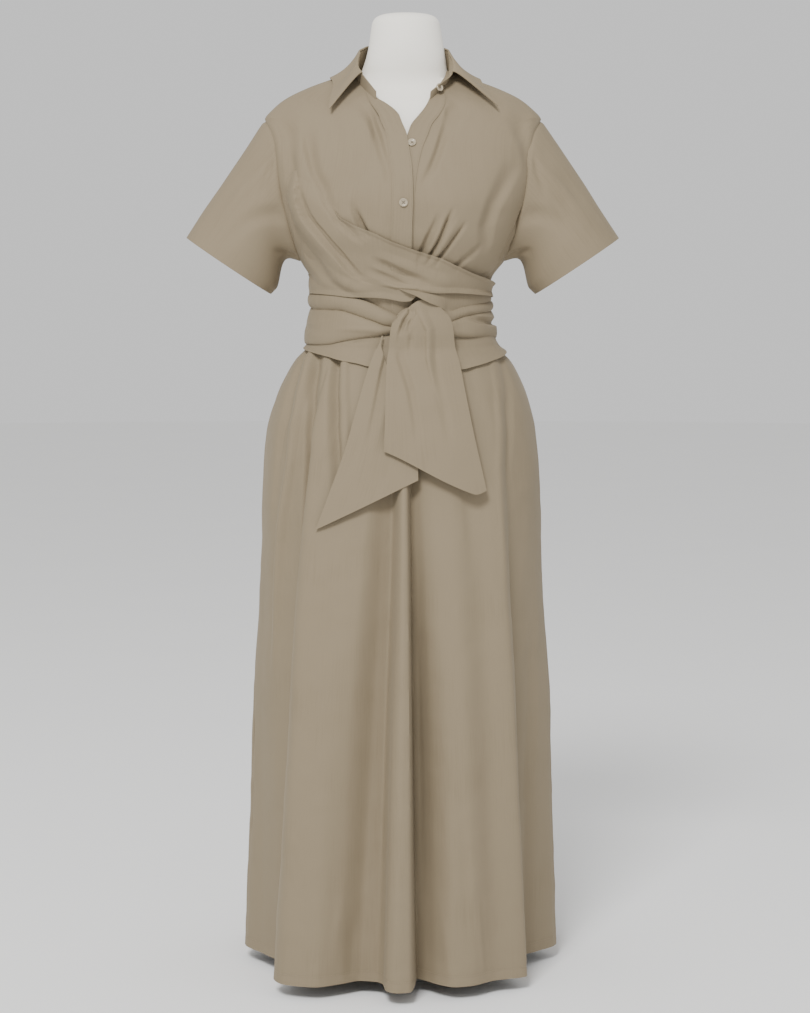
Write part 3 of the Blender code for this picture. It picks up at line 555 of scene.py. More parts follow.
def poplin():
    tree, surface = material("poplin")
    uv = add(tree, "TexCoord").outputs["UV"]
    where = add(tree, "TexCoord").outputs["Object"]
    # broad, faint patches where the dye took a little differently
    patches = add(tree, "TexNoise", {"Vector": where}, Scale=per_metre(90), Detail=3.0)
    # slubs: single thicker warp threads, long and thin
    drawn = add(tree, "Mapping", {"Vector": uv}, Scale=(per_metre(2.2), per_metre(60), 1.0))
    slubs = add(tree, "TexNoise", {"Vector": drawn.outputs["Vector"]}, Scale=1.0, Detail=2.0)
    both = add(tree, "Math", {0: patches.outputs["Fac"], 1: slubs.outputs["Fac"]}, operation="ADD")
    dye = ((0.62, linear(POPLIN_DEEP)), (1.0, linear(POPLIN)))
    ramp = add(tree, "ValToRGB", {"Fac": both.outputs[0]}, dye)
    tree.links.new(ramp.outputs["Color"], surface.inputs["Base Color"])
    warp = add(tree, "TexWave", {"Vector": uv}, bands_direction="X", Scale=WAVE_SCALE / WARP)
    weft = add(tree, "TexWave", {"Vector": uv}, bands_direction="Y", Scale=WAVE_SCALE / WEFT)
    weave = add(tree, "Math", {0: warp.outputs["Fac"], 1: weft.outputs["Fac"]}, operation="MULTIPLY")
    fine = add(tree, "Bump", {"Height": weave.outputs[0]}, Strength=0.12, Distance=0.00008)
    # handling marks: shallow dents a thumb wide that pressing never quite lifts
    dents = add(tree, "TexNoise", {"Vector": where}, Scale=per_metre(45), Detail=2.0, Roughness=0.4)
    soft = add(
        tree, "Bump", {"Height": dents.outputs["Fac"], "Normal": fine.outputs["Normal"]},
        Strength=0.35, Distance=0.0020)
    tree.links.new(soft.outputs["Normal"], surface.inputs["Normal"])
    rough = add(tree, "MapRange", {"Value": slubs.outputs["Fac"]}, To_Min=0.72, To_Max=0.86)
    tree.links.new(rough.outputs["Result"], surface.inputs["Roughness"])
    sockets(surface, Specular_IOR_Level=0.32, Sheen_Weight=0.12, Sheen_Roughness=0.45)
    sockets(surface, Sheen_Tint=linear(BLOOM))

# %% the other materials
def thread(name, colour):
    """Polyester sewing thread, with painted highlights: random lighter spots stand for plies that turn up
    to the light.
    """
    tree, surface = material(name)
    where = add(tree, "TexCoord").outputs["Object"]
    # painted highlight: random spots, up to 15% lighter, for plies that catch the light
    twist = add(tree, "TexNoise", {"Vector": where}, Scale=per_metre(1.2))
    light = [1.15 * value for value in linear(colour)[:3]] + [1.0]
    ramp = add(tree, "ValToRGB", {"Fac": twist.outputs["Fac"]}, ((0.0, linear(colour)), (1.0, light)))
    tree.links.new(ramp.outputs["Color"], surface.inputs["Base Color"])
    sockets(surface, Roughness=0.55)


def form_cover():
    """Cotton jersey, pulled tight over the padded form."""
    tree, surface = material("form_cover")
    where = add(tree, "TexCoord").outputs["Object"]
    patches = add(tree, "TexNoise", {"Vector": where}, Scale=per_metre(70), Detail=3.0)
    dye = ((0.0, linear(FORM_SHADE)), (1.0, linear(FORM_COVER)))
    ramp = add(tree, "ValToRGB", {"Fac": patches.outputs["Fac"]}, dye)
    tree.links.new(ramp.outputs["Color"], surface.inputs["Base Color"])
    drawn = add(tree, "Mapping", {"Vector": where}, Scale=(1.0, 1.0, 0.45))
    knit = add(tree, "TexVoronoi", {"Vector": drawn.outputs["Vector"]}, Scale=per_metre(0.9))
    fine = add(tree, "Bump", {"Height": knit.outputs["Distance"]}, Strength=0.2, Distance=0.00015)
    tree.links.new(fine.outputs["Normal"], surface.inputs["Normal"])
    sockets(surface, Roughness=0.82, Sheen_Weight=0.1)


def steel():
    """Brushed and clear-coated steel of the stand."""
    tree, surface = material("steel")
    where = add(tree, "TexCoord").outputs["Object"]
    drawn = add(tree, "Mapping", {"Vector": where}, Scale=(1.0, 1.0, 0.06))
    brush = add(tree, "TexNoise", {"Vector": drawn.outputs["Vector"]}, Scale=per_metre(1.5), Detail=4.0)
    rough = add(tree, "MapRange", {"Value": brush.outputs["Fac"]}, To_Min=0.26, To_Max=0.44)
    tree.links.new(rough.outputs["Result"], surface.inputs["Roughness"])
    sockets(surface, Base_Color=linear(STEEL), Metallic=1.0)


def shell_button():
    """Cast resin made to look like shell: cream, with a cloudy swirl."""
    tree, surface = material("shell_button")
    where = add(tree, "TexCoord").outputs["Object"]
    cloud = add(tree, "TexNoise", {"Vector": where}, Scale=per_metre(4), Detail=3.0, Distortion=1.2)
    swirl = ((0.3, linear(SHELL_DARK)), (0.55, linear(SHELL)))
    ramp = add(tree, "ValToRGB", {"Fac": cloud.outputs["Fac"]}, swirl)
    tree.links.new(ramp.outputs["Color"], surface.inputs["Base Color"])
    sockets(surface, Roughness=0.34, Coat_Weight=0.2, Coat_Roughness=0.08)


def studio_floor():
    """Matt white paper sweep."""
    tree, surface = material("studio_floor")
    where = add(tree, "TexCoord").outputs["Object"]
    grain = add(tree, "TexNoise", {"Vector": where}, Scale=per_metre(400))
    paper = ((0.0, linear(FLOOR_SHADE)), (1.0, linear(FLOOR)))
    ramp = add(tree, "ValToRGB", {"Fac": grain.outputs["Fac"]}, paper)
    tree.links.new(ramp.outputs["Color"], surface.inputs["Base Color"])
    sockets(surface, Roughness=0.9)


for make in (poplin, form_cover, steel, shell_button, studio_floor):
    make()
thread("thread", THREAD)
# this thread material also paints the shade of the button holes
thread("button_thread_and_hole_shade", BUTTON_THREAD_AND_HOLE_SHADE)
print("materials:", sorted(MATERIALS))

# %% [markdown]
# ## The skirt
# Two wide gored halves, gathered a little under the sash and sewn at the
# sides.  The long folds come from the table; smaller creases and a faint
# unevenness keep the cloth from looking cast.  A cloth simulation would fold the
# skirt by chance, so each half is placed by a function instead, and every fold
# stays where the real one hangs.

# %% the skirt's creases
SKIRT_CREASES = table(Crease, [
    (.01, -.011, -.48, [(-46.5, .885, .5), (-43, .863, 1), (-37, .8, 1), (-33.6, .752, .8),
        (-31, .69, .3), (-30, .65, 0)]),
    (.008, .003, 0, [(-40.5, .885, .5), (-38.5, .863, 1), (-32.5, .8, 1), (-29.5, .753, .8),
        (-27.5, .7, .3), (-27, .64, 0)]),
    (.012, -.01, .2, [(-62, .885, .5), (-58.8, .855, 1), (-53.5, .8, 1), (-50.5, .74, 1),
        (-50.5, .664, .8), (-51.4, .551, .4), (-52, .45, 0)]),
    (.01, .007, 0, [(-69, .885, .3), (-63.4, .855, .8), (-61, .79, 1), (-60.5, .729, 1),
        (-66, .615, 1), (-67.6, .521, .7), (-70, .42, 0)]),
    (.009, -.0045, 0, [(-74, .885, .4), (-70, .85, 1), (-67, .79, 1), (-68, .7, .6),
        (-71, .62, 0)]),
    (.012, .0035, .2, [(62, .87, .5), (55, .8, 1), (50, .72, 1), (48.5, .62, .7), (47.7, .54, 0)]),
    (.01, -.003, 0, [(70, .87, .6), (63, .8, 1), (58, .72, .8), (56, .65, 0)]),
    (.013, -.0022, 0, [(44, .87, .4), (38, .8, 1), (35, .7, 1), (34, .56, 0)]),
    (.01, -.0018, 0, [(24, .3, 0), (25, .18, 1), (26.5, .06, .4)]),
    (.008, .0022, 0, [(-23, .18, 0), (-24, .11, 1), (-25.5, .05, .5)]),
    (.007, -.002, 0, [(-20, .12, 0), (-21, .08, 1), (-21.5, .03, 1)]),
    (.006, .0016, 0, [(16.5, .14, 0), (17.5, .09, 1), (18.5, .035, .6)]),
    (.006, .0016, 0, [(30, .15, 0), (30.5, .09, 1), (32, .04, .5)]),
    # the same gathers run out of the waist seam on the sides and back
    (.011, -.006, .2, [(112, .885, .5), (111, .85, 1), (109, .78, .8), (108, .69, 0)]),
    (.01, -.0054, -.2, [(137, .885, .5), (136.5, .845, 1), (135, .76, .7), (134, .68, 0)]),
    (.012, -.0058, .1, [(163, .885, .6), (163.5, .85, 1), (164, .79, .7), (164.5, .72, 0)]),
    (.01, -.0052, 0, [(189, .885, .5), (189.5, .84, 1), (191, .75, .6), (192, .66, 0)]),
    (.011, -.006, -.1, [(221, .885, .6), (222, .85, 1), (224, .78, .7), (226, .7, 0)]),
    (.01, -.0052, .2, [(247, .885, .5), (248.5, .845, 1), (251, .77, .6), (252, .7, 0)]),
])

# %% skirt
HEM_DEPTH = 0.014        # turned hem of the skirt
SEAM_GROOVE = 0.0007     # a pressed seam sinks in this far
SEAM_REACH = 0.005
SEAM_LAP = 0.45          # degrees that the front laps over the back
SEAM_LAPS = 3            # the under piece comes up over so many laps
SEAM_UNDER = 0.0009
HEM_GROOVE = 0.0004
HEM_GROOVE_REACH = 0.0025
SKIRT_ROUND = 0.0035     # metres for a degree, where the unevenness is laid out
SKIRT_WAVES = [(0.0011, 0.055, 3), (0.0004, 0.018, 4)]
SKIRT_WAVES_START = 0.06


def side_seam(angle, z):
    """The groove that a side seam presses into the cloth."""
    away = (90.0 - np.abs(angle) % 180.0) * metres(z)
    return -SEAM_GROOVE * bump(away / SEAM_REACH)


def skirt_lift(angle, z):
    small = relief(SKIRT_CREASES, angle, z, metres(z))
    waves = uneven(angle * SKIRT_ROUND, z, SKIRT_WAVES) * shrink(z, WAIST_Z, SKIRT_WAVES_START)
    hem = -HEM_GROOVE * bump((z - HEM_Z - HEM_DEPTH) / HEM_GROOVE_REACH)
    return small + waves + hem + side_seam(angle, z)


def skirt_half(first, last, under=0.0):
    def place(u, w):
        z = HEM_Z + (WAIST_Z - HEM_Z) * w
        angle = first + (last - first) * u
        at_seam = ease(1 - np.minimum(u, 1 - u) * (last - first) / SEAM_LAP / SEAM_LAPS)
        return dress(angle, z, skirt_lift(angle, z) - under * at_seam)
    return place


cloth("skirt_front", skirt_half(-90.0 - SEAM_LAP, 90.0 + SEAM_LAP), 224, 186, (0.95, 0.87))
cloth("skirt_back", skirt_half(90.0 - SEAM_LAP, 270.0 + SEAM_LAP, SEAM_UNDER), 150, 170, (0.95, 0.87))

# %% [markdown]
# ## The bodice
# Two fronts and a back meet at the side and shoulder seams.  A dropped
# armhole is an oval cut out of all three.  No hole is cut in a mesh: a front's
# rows end at the oval, so its edge is as smooth as a sewn one.

# %% the bodice's seams and creases
ARMHOLE_Z = 1.1015
ARMHOLE_HALF = 0.0965
ARMHOLE_FRONT = 19.0
ARMHOLE_BACK = 24.0

BAND_WIDTH = 0.028
BAND_UNDER = 0.016       # a front runs this far in under its button band
BAND_TOP_Z = 1.2225
BAND_TOP_FROM = 1.196    # from here the bands turn along the neck
BAND_TOP_TURN = 24.0
BAND_LIFT = 0.0009       # the folded band stands a ply above the front
OVERLAP_LIFT = 0.0032    # the right front stands off where it laps over
OVERLAP_FROM = -11.0
OVERLAP_TO = 8.0
OVERLAP_FADE = 12.0
OVERLAP_TOP_Z = 1.200
OVERLAP_TOP_FADE = 0.020
STAND_END = 33.0         # where the stand and the leaf end in front

# stand: its height; lean: how far its top leans in, at the wearer's left and right
NeckPoint = namedtuple("NeckPoint", "angle z stand lean_left lean_right")
NECK = table(NeckPoint, [
    (33, 1.2225, .01, -.003, -.001),
    (45, 1.232, .015, -.009, -.003),
    (60, 1.244, .018, -.0125, -.004),
    (90, 1.267, .025, .003, .0055),
    (130, 1.2735, .028, .005, .005),
    (180, 1.276, .028, .003, .003),
])
SIDE_NECK_Z = NECK[3].z

EdgePoint = namedtuple("EdgePoint", "z over under")
FRONT_EDGES = table(EdgePoint, [
    (.885, .012, -.014),
    (1.02, .0117, -.014),
    (1.09, .0135, -.012),
    (1.12, .0126, -.009),
    (1.152, .0082, -.002),
    (1.172, .0048, .006),
    (1.186, -.001, .0112),
    (1.198, -.0052, .0205),
    (1.2088, -.0095, .029),
    (1.2165, -.015, .0335),
    (1.2225, -.0345, .0362),
    (1.245, -.055, .055),
])
BODICE_CREASES = table(Crease, [
    # tucks that the wrap's pull makes on the wearer's left
    (.011, -.0062, .45, [(20.9, 1.066, 0), (18.3, 1.049, .5), (14.9, 1.032, .9), (12.2, 1.015, 1),
        (10.5, 1.003, 1)]),
    (.0045, -.0062, 0, [(28.8, 1.073, 0), (25.5, 1.055, .8), (23, 1.038, 1), (20.6, 1.022, 1),
        (16.5, 1, 1)]),
    (.006, .0034, 0, [(25, 1.068, 0), (21.5, 1.047, .8), (16.6, 1.018, 1), (14, 1.003, 1)]),
    (.0045, -.0058, 0, [(36.3, 1.055, 0), (31.3, 1.036, 1), (27.6, 1.02, 1), (22, .998, 1)]),
    (.006, .0026, 0, [(32.5, 1.062, 0), (27.5, 1.04, .8), (22.2, 1.014, 1), (19, 1, 1)]),
    (.007, -.0036, 0, [(48.2, 1.025, 0), (44.3, 1.015, .8), (40.4, 1.005, 1), (34.5, .99, 1)]),
    (.004, -.0014, 0, [(64, .99, 0), (61.5, .984, 1), (57, .974, 1)]),
    (.004, -.0014, 0, [(72, .989, 0), (68, .982, 1), (63, .972, 1)]),
    (.012, -.003, 0, [(73, 1.04, 0), (75, 1.014, 1), (83, .998, 1), (88, .985, .5)]),
    # and on the wearer's right
    (.009, -.006, .3, [(-30.2, 1.081, 0), (-27.5, 1.065, .6), (-25.6, 1.053, 1), (-23, 1.036, 1)]),
    (.004, -.005, 0, [(-27.3, 1.071, 0), (-24.3, 1.056, .8), (-20.4, 1.036, 1)]),
    # soft drag lines that fan out below the collar
    (.01, -.0048, -.2, [(-50, 1.226, 0), (-29.1, 1.196, 1), (-18.4, 1.166, 1), (-11.3, 1.133, .6),
        (-7.2, 1.1, 0)]),
    (.015, -.003, 0, [(-57, 1.22, .3), (-41.8, 1.179, 1), (-32.7, 1.129, 0)]),
    (.01, .0022, 0, [(-42, 1.214, 0), (-28, 1.178, 1), (-21, 1.14, 0)]),
    (.009, -.0052, .2, [(55, 1.222, 0), (42.9, 1.204, .8), (29.2, 1.167, 1), (19.2, 1.131, .9),
        (10.3, 1.099, 0)]),
    (.01, -.0028, 0, [(60.5, 1.228, .3), (45.9, 1.2, 1), (35.6, 1.172, 0)]),
    (.008, .0022, 0, [(52, 1.216, 0), (38, 1.188, 1), (26, 1.16, 0)]),
    (.013, -.0054, .1, [(-78.9, 1.21, .3), (-70.9, 1.181, 1), (-65.4, 1.153, 1), (-62.5, 1.131, 1),
        (-60.9, 1.1, .5), (-60, 1.08, 0)]),
    (.01, -.0058, .35, [(-64, 1.19, 0), (-60, 1.168, .7), (-56.5, 1.152, 1), (-50.5, 1.121, 1),
        (-44.3, 1.097, .8), (-41.3, 1.078, .5), (-35.4, 1.059, 0)]),
    (.01, .002, 0, [(-66, 1.17, 0), (-61, 1.145, 1), (-57, 1.122, .4), (-54, 1.1, 0)]),
    (.012, -.0052, -.1, [(80.3, 1.216, .3), (73, 1.192, 1), (71, 1.173, 1), (70.9, 1.148, .8),
        (71, 1.12, 0)]),
    (.015, -.0062, -.2, [(64, 1.14, 0), (60.9, 1.125, .6), (55.6, 1.103, 1), (50.1, 1.076, 1),
        (48.3, 1.049, 1), (50, 1.027, .5), (50, 1.01, 0)]),
    (.01, -.0036, 0, [(-60, 1.12, 0), (-64, 1.075, 1), (-66, 1.03, 1), (-72, .995, 0)]),
    (.008, -.0046, .1, [(71, 1.08, 0), (71, 1.066, .8), (69.6, 1.039, 1), (68.1, 1.012, 1),
        (72, .99, .5)]),
])

# %% bodice panels
NECK_TUCK = 3.0          # degrees that a front runs in under the stand
NECK_TUCK_START = (1.190, 0.020)
ARMHOLE_DIP = 0.0010     # the seam pulls the cloth's edge in
ARMHOLE_DIP_REACH = 0.005
SIDE_SEAM = 89.9         # an edge short of this angle is the armhole's
COLUMN_POWER = 1.2       # a front's columns stand closer by its button band
BODICE_TOP = SIDE_NECK_Z - 0.001
BODICE_STEPS = [0.0, 0.58, 0.76, 1.0]
BODICE_LEVELS = [WAIST_Z, 1.100, 1.205, BODICE_TOP]
BACK_LEVELS = [0.0, 0.565, 0.84, 1.0]
BACK_UNDER = 0.0010      # the back lies in under the fronts at their seam
BACK_UNDER_OVER = 2.5
BACK_SEAM_FADE = 0.010
BODICE_ROUND = 0.003
BODICE_WAVES = [(0.0007, 0.040, 7), (0.0003, 0.014, 8)]
SIDES = (("right", -1), ("left", 1))


def armhole_angle(z, cut):
    reach = (z - ARMHOLE_Z) / ARMHOLE_HALF
    return 90.0 - cut * np.sqrt(np.maximum(0.0, 1.0 - reach * reach))


def neck_angle(z):
    return np.where(z <= NECK[0].z, 0.0, between(NECK[:4], "z", "angle", z))


def bodice_lift(angle, z):
    return relief(BODICE_CREASES, angle, z, metres(z)) + uneven(angle * BODICE_ROUND, z, BODICE_WAVES)


def over_lift(angle, z):
    """How far out the over front lies where it laps over the under front."""
    outside = np.maximum(0.0, np.maximum(OVERLAP_FROM - angle, angle - OVERLAP_TO))
    below = ease(1 - (z - OVERLAP_TOP_Z) / OVERLAP_TOP_FADE)
    return OVERLAP_LIFT * ease(1 - outside / OVERLAP_FADE) * below


def front_edge(side, z):
    return between(FRONT_EDGES, "z", "over" if side < 0 else "under", z)


def front_panel(side):
    """One front, from under its button band to the side seam; side is -1 or 1."""
    def place(u, w):
        z = curve(BODICE_STEPS, BODICE_LEVELS, w)
        inner_x = front_edge(side, z) + side * (BAND_WIDTH - BAND_UNDER)
        inner = np.abs(front_angle(inner_x, np.minimum(z, BAND_TOP_Z)))
        inner = np.maximum(inner, neck_angle(z)) - NECK_TUCK * grow(z, *NECK_TUCK_START)
        outer = armhole_angle(z, ARMHOLE_FRONT)
        angle = side * (inner + (outer - inner) * u ** COLUMN_POWER)
        lift = bodice_lift(angle, z) + (over_lift(angle, z) if side < 0 else 0.0)
        dip = (outer < SIDE_SEAM) * bump((outer - side * angle) * metres(z) / ARMHOLE_DIP_REACH)
        return dress(angle, z, lift - ARMHOLE_DIP * dip)

    return place


def back_panel(u, w):
    top_angle = 90.0 + 180.0 * u
    top = between(NECK, "angle", "z", np.minimum(top_angle, 360.0 - top_angle))
    z = WAIST_Z + (top - WAIST_Z) * curve(BODICE_STEPS, BACK_LEVELS, w)
    seam = 180.0 - armhole_angle(z, ARMHOLE_BACK)
    below = shrink(z, ARMHOLE_Z - ARMHOLE_HALF, BACK_SEAM_FADE)
    low = seam - 2 * SEAM_LAP * below
    angle = low + (360.0 - 2 * low) * u
    from_seam = np.minimum(angle, 360.0 - angle) - low
    under = BACK_UNDER * shrink(from_seam, BACK_UNDER_OVER, BACK_UNDER_OVER) * below
    return dress(angle, z, bodice_lift(angle, z) - under)


for name, side in SIDES:
    cloth(f"bodice_front_{name}", front_panel(side), 132, 138, (0.30, 0.40))
cloth("bodice_back", back_panel, 110, 110, (0.42, 0.42))

# %% button bands
BAND_PLY = 0.0012        # a folded band or collar is a little thicker
BAND_SHARE = 0.5         # of the front's creases that show through the band


def band(side):
    def place(u, w):
        z = WAIST_Z + (BAND_TOP_Z - WAIST_Z) * w
        x = front_edge(side, z) + side * BAND_WIDTH * u
        turn = ease((z - BAND_TOP_FROM) / (BAND_TOP_Z - BAND_TOP_FROM))
        top_angle = side * (STAND_END + BAND_TOP_TURN * u)
        top_z = between(NECK, "angle", "z", np.abs(top_angle))
        angle = front_angle(x, z) * (1 - turn) + top_angle * turn
        z = z * (1 - turn) + top_z * turn
        lift = over_lift(np.zeros_like(angle), z) if side < 0 else 0.0
        return dress(angle, z, lift + BAND_LIFT + BAND_SHARE * bodice_lift(angle, z))

    return place


for name, side in SIDES:
    cloth(f"placket_{name}", band(side), 14, 150, (0.028, 0.36), thickness=BAND_PLY)

# %% [markdown]
# ## Sleeves
# A short kimono-like sleeve is a tube from the armhole seam to a wide cuff.
# Each point lies on a straight line between the two, because starched poplin
# hangs almost straight there, and an arch and folds are laid over that.

# %% sleeves
# A sleeve's creases lie in metres round from the underarm and down from its head.
SLEEVE_CREASES = table(Crease, [
    (.009, -.0038, 0, [(.138, 0, .8), (.13, .018, 1), (.12, .04, .5), (.112, .062, 0)]),
    (.014, -.0045, 0, [(.075, 0, .4), (.085, .04, 1), (.11, .11, .6), (.12, .17, 0)]),
    (.012, .0036, 0, [(.13, .02, 0), (.14, .09, 1), (.145, .15, 0)]),
    (.012, -.004, 0, [(.02, 0, 1), (.03, .05, 1), (.05, .1, 0)]),
    (.012, -.003, 0, [(.3, .01, .4), (.29, .06, 1), (.28, .14, 0)]),
    (.012, -.0036, 0, [(.37, 0, 1), (.355, .06, .8), (.34, .11, 0)]),
])
# the left sleeve's cuff: an oval about its centre, drawn out inwards and down
CUFF_CENTRE = np.array((0.2442, -0.004, 0.996))
CUFF_IN = np.array((-0.832, 0.0, -0.555))
CUFF_HALF = 0.0664
CUFF_DEPTH = 0.052
SLEEVE_TUCK = 1.3        # degrees that a sleeve head runs in under the bodice
SLEEVE_UNDER = -0.0034
SLEEVE_OUT = 0.0004
SLEEVE_ARCH = (0.007, 0.020)   # the empty underarm is held up and out by this much
SLEEVE_ROUND = 0.40      # a sleeve's length and girth, for its creases
SLEEVE_LENGTH = 0.19
CUFF_HEM = 0.022         # turned hem of a sleeve
TUCK_FADE = 0.04         # towards the underarm a sleeve head isn't tucked in
ARCH_AT = 0.40
ARCH_REACH = 0.44
SLEEVE_FOLDS_START = (0.02, 0.10)
UNDERARM_FADE = 0.05     # the folds end this short of the seam under the arm
SLEEVE_EMERGE = 0.05
CUFF_GROOVE = 0.0005
CUFF_GROOVE_REACH = 0.002
SLEEVE_WAVE = (0.0012, 0.050)
SLEEVE_SEED = 11


def sleeve(side):
    mirror = np.array((side, 1.0, 1.0))
    inward = CUFF_IN * mirror
    centre = CUFF_CENTRE * mirror
    waves = [SLEEVE_WAVE + (SLEEVE_SEED + side,)]

    def place(u, w):
        turn = math.tau * u
        z = ARMHOLE_Z - ARMHOLE_HALF * np.cos(turn)
        tuck = SLEEVE_TUCK * ease((1 - np.cos(turn)) / TUCK_FADE)
        ahead = armhole_angle(z, ARMHOLE_FRONT) - tuck
        behind = 180.0 - armhole_angle(z, ARMHOLE_BACK) + tuck
        root = dress(side * np.where(np.sin(turn) >= 0, ahead, behind), z, SLEEVE_UNDER)
        cuff = centre + inward * (CUFF_HALF * np.cos(turn))[:, None]
        cuff[:, 1] -= CUFF_DEPTH * np.sin(turn)
        points = root + (cuff - root) * w[:, None]
        arch = bump((w - ARCH_AT) / ARCH_REACH) * ((1 + np.cos(turn)) / 2) ** 2
        points[:, 0] += side * SLEEVE_ARCH[0] * arch
        points[:, 2] += SLEEVE_ARCH[1] * arch
        middle = root.mean(axis=0) + (cuff.mean(axis=0) - root.mean(axis=0)) * w[:, None]
        around, down = u * SLEEVE_ROUND, w * SLEEVE_LENGTH
        folds = relief(SLEEVE_CREASES, around, down) + uneven(around, down, waves)
        fade = grow(w, *SLEEVE_FOLDS_START) * ease(u / UNDERARM_FADE) * ease((1 - u) / UNDERARM_FADE)
        emerge = (SLEEVE_OUT - SLEEVE_UNDER) * ease(w / SLEEVE_EMERGE)
        hem = -CUFF_GROOVE * bump(((1 - w) * SLEEVE_LENGTH - CUFF_HEM) / CUFF_GROOVE_REACH)
        return points + unit(points - middle) * (folds * fade + emerge + hem)[:, None]

    return place


for name, side in SIDES:
    cloth(f"sleeve_{name}", sleeve(side), 110, 56, (SLEEVE_ROUND, SLEEVE_LENGTH), tube=True)

# %% [markdown]
# ## The collar
# A stand is sewn to the neck seam.  The leaf rises from the stand's top, rolls
# over and falls on the shoulders, where its front corners hang free.  A cubic
# curve from the stand over the roll to the free edge gives it one clean fall.

# %% collar
LEAF_END_LEFT = 61.0
LEAF_END_RIGHT = 55.0
# The leaf's free edge, from its front corner to the middle back.  The corner at
# the wearer's left reaches further round than the other.
LeafEdge = namedtuple("LeafEdge", "share angle_left angle_right z_left z_right lift")
LEAF = table(LeafEdge, [
    (0, 66.4, 56.3, 1.206, 1.2015, .0115),
    (.074, 69.6, 61.5, 1.2225, 1.2175, .01),
    (.165, 75.5, 69.5, 1.237, 1.2345, .0062),
    (.256, 84, 82, 1.249, 1.25, .004),
    (.33, 93, 92, 1.254, 1.2545, .0034),
    (.504, 120, 120, 1.252, 1.252, .0036),
    (.752, 150, 150, 1.2435, 1.2435, .0036),
    (1, 180, 180, 1.24, 1.24, .0036),
])
COLLAR_PLY = 0.0013
STAND_FOOT = 0.0015      # the stand laps over the neck seam by this much
STAND_OVER = 0.0011
NECK_MIDDLE_Y = -0.004
LEAF_SEAM = 0.0012       # the leaf starts this far above the stand
LEAF_ROLL = 0.009
LEAF_HUG_FRONT = (0.48, 0.56)   # how near its stand a leaf starts to fall, across and down
LEAF_HUG_SIDE = (0.84, 0.42)
LEAF_HUG_OVER = 25.0     # degrees from the one to the other


def neck_turn(angle):
    angle = np.abs(angle) % 360.0
    return np.minimum(angle, 360.0 - angle)


def by_side(on_left, rows, along, name, at):
    """A column that has its own values at the wearer's left and right."""
    left, right = (between(rows, along, f"{name}_{side}", at) for side in ("left", "right"))
    return np.where(on_left, left, right)


def stand_point(angle, rise):
    turn = neck_turn(angle)
    foot = dress(angle, between(NECK, "angle", "z", turn) - STAND_FOOT, STAND_OVER)
    lean = by_side(np.sin(np.radians(angle)) >= 0, NECK, "angle", "lean", turn)
    height = STAND_FOOT + np.sqrt(between(NECK, "angle", "stand", turn) ** 2 - lean ** 2)
    inward = unit(np.stack([-foot[..., 0], -foot[..., 1] + NECK_MIDDLE_Y, 0 * turn], axis=-1))
    points = foot + inward * ((lean + STAND_OVER) * rise)[..., None]
    points[..., 2] += height * rise
    return points


def stand_place(u, w):
    return stand_point(STAND_END + (360.0 - 2 * STAND_END) * u, w)


def leaf_place(u, w):
    angle = LEAF_END_LEFT + (360.0 - LEAF_END_LEFT - LEAF_END_RIGHT) * u
    turn = neck_turn(angle)
    on_left = angle <= 180.0
    end = np.where(on_left, LEAF_END_LEFT, LEAF_END_RIGHT)
    share = (turn - end) / (180.0 - end)
    root = stand_point(angle, np.ones_like(angle))
    root[..., 2] += LEAF_SEAM
    edge_angle = np.where(on_left, 1, -1) * by_side(on_left, LEAF, "share", "angle", share)
    edge_z = by_side(on_left, LEAF, "share", "z", share)
    edge = dress(edge_angle, edge_z, between(LEAF, "share", "lift", share))
    roll = root + np.array((0.0, 0.0, LEAF_ROLL))
    side = grow(turn, end, LEAF_HUG_OVER)
    across, down = (front + (back - front) * side for front, back in zip(LEAF_HUG_FRONT, LEAF_HUG_SIDE))
    fall = edge + (root - edge) * np.stack([across, across, down], axis=-1)
    w = w[:, None]
    k = 1 - w
    return root * k ** 3 + roll * (3 * k * k * w) + fall * (3 * k * w * w) + edge * w ** 3


cloth("collar_stand", stand_place, 150, 12, (0.40, 0.028), thickness=COLLAR_PLY)
cloth("collar_leaf", leaf_place, 170, 48, (0.44, 0.07), thickness=COLLAR_PLY)

# %% [markdown]
# ## Wrap panel, sash and knot
# The wrap panel leaves the side seam, crosses the bust and narrows into the
# sash.  Pulled tight, its cloth gathers into round rolls with sharp lines
# between them, and long drag folds run towards the knot.  The rolls are round
# arches between lines from a table, because noise would have no sharp lines.

# %% strips of cloth round the figure
# A row gives a strip's lower and upper edge at one angle.
Strip = namedtuple("Strip", "angle low high")
LIFT_LOW = 0.0033        # how far off the figure each turn of the sash lies
LIFT_SASH = 0.0058
LIFT_WRAP = 0.0080
LIFT_WRAP_TOP = 0.0026
WRAP_LEAVES_Z = 1.018    # the wrap leaves the bodice here, and lies on the sash below
WRAP_OVER_Z = 0.973
SASH_IN = 0.0006         # the rolls start a little in from the band's own place
SASH_ROUND = 0.0022
SASH_WAVE = (0.0005, 0.022)
OVER_KNOT = 0.020        # the band stands out this much more where it crosses the knot
OVER_KNOT_AT = 17.0
OVER_KNOT_REACH = 27.0


def edges_at(edges, angle):
    return between(edges, "angle", "low", angle), between(edges, "angle", "high", angle)


def strip(edges, lift):
    first, last = edges[0].angle, edges[-1].angle

    def place(u, w):
        angle = first + (last - first) * u
        low, high = edges_at(edges, angle)
        z = low + (high - low) * w
        return dress(angle, z, lift(angle, z, low, high))

    return place


def over_knot(angle):
    return bump((angle - OVER_KNOT_AT) / OVER_KNOT_REACH)


def sash_waves(angle, z, seed):
    return uneven(angle * SASH_ROUND, z, [SASH_WAVE + (seed,)])

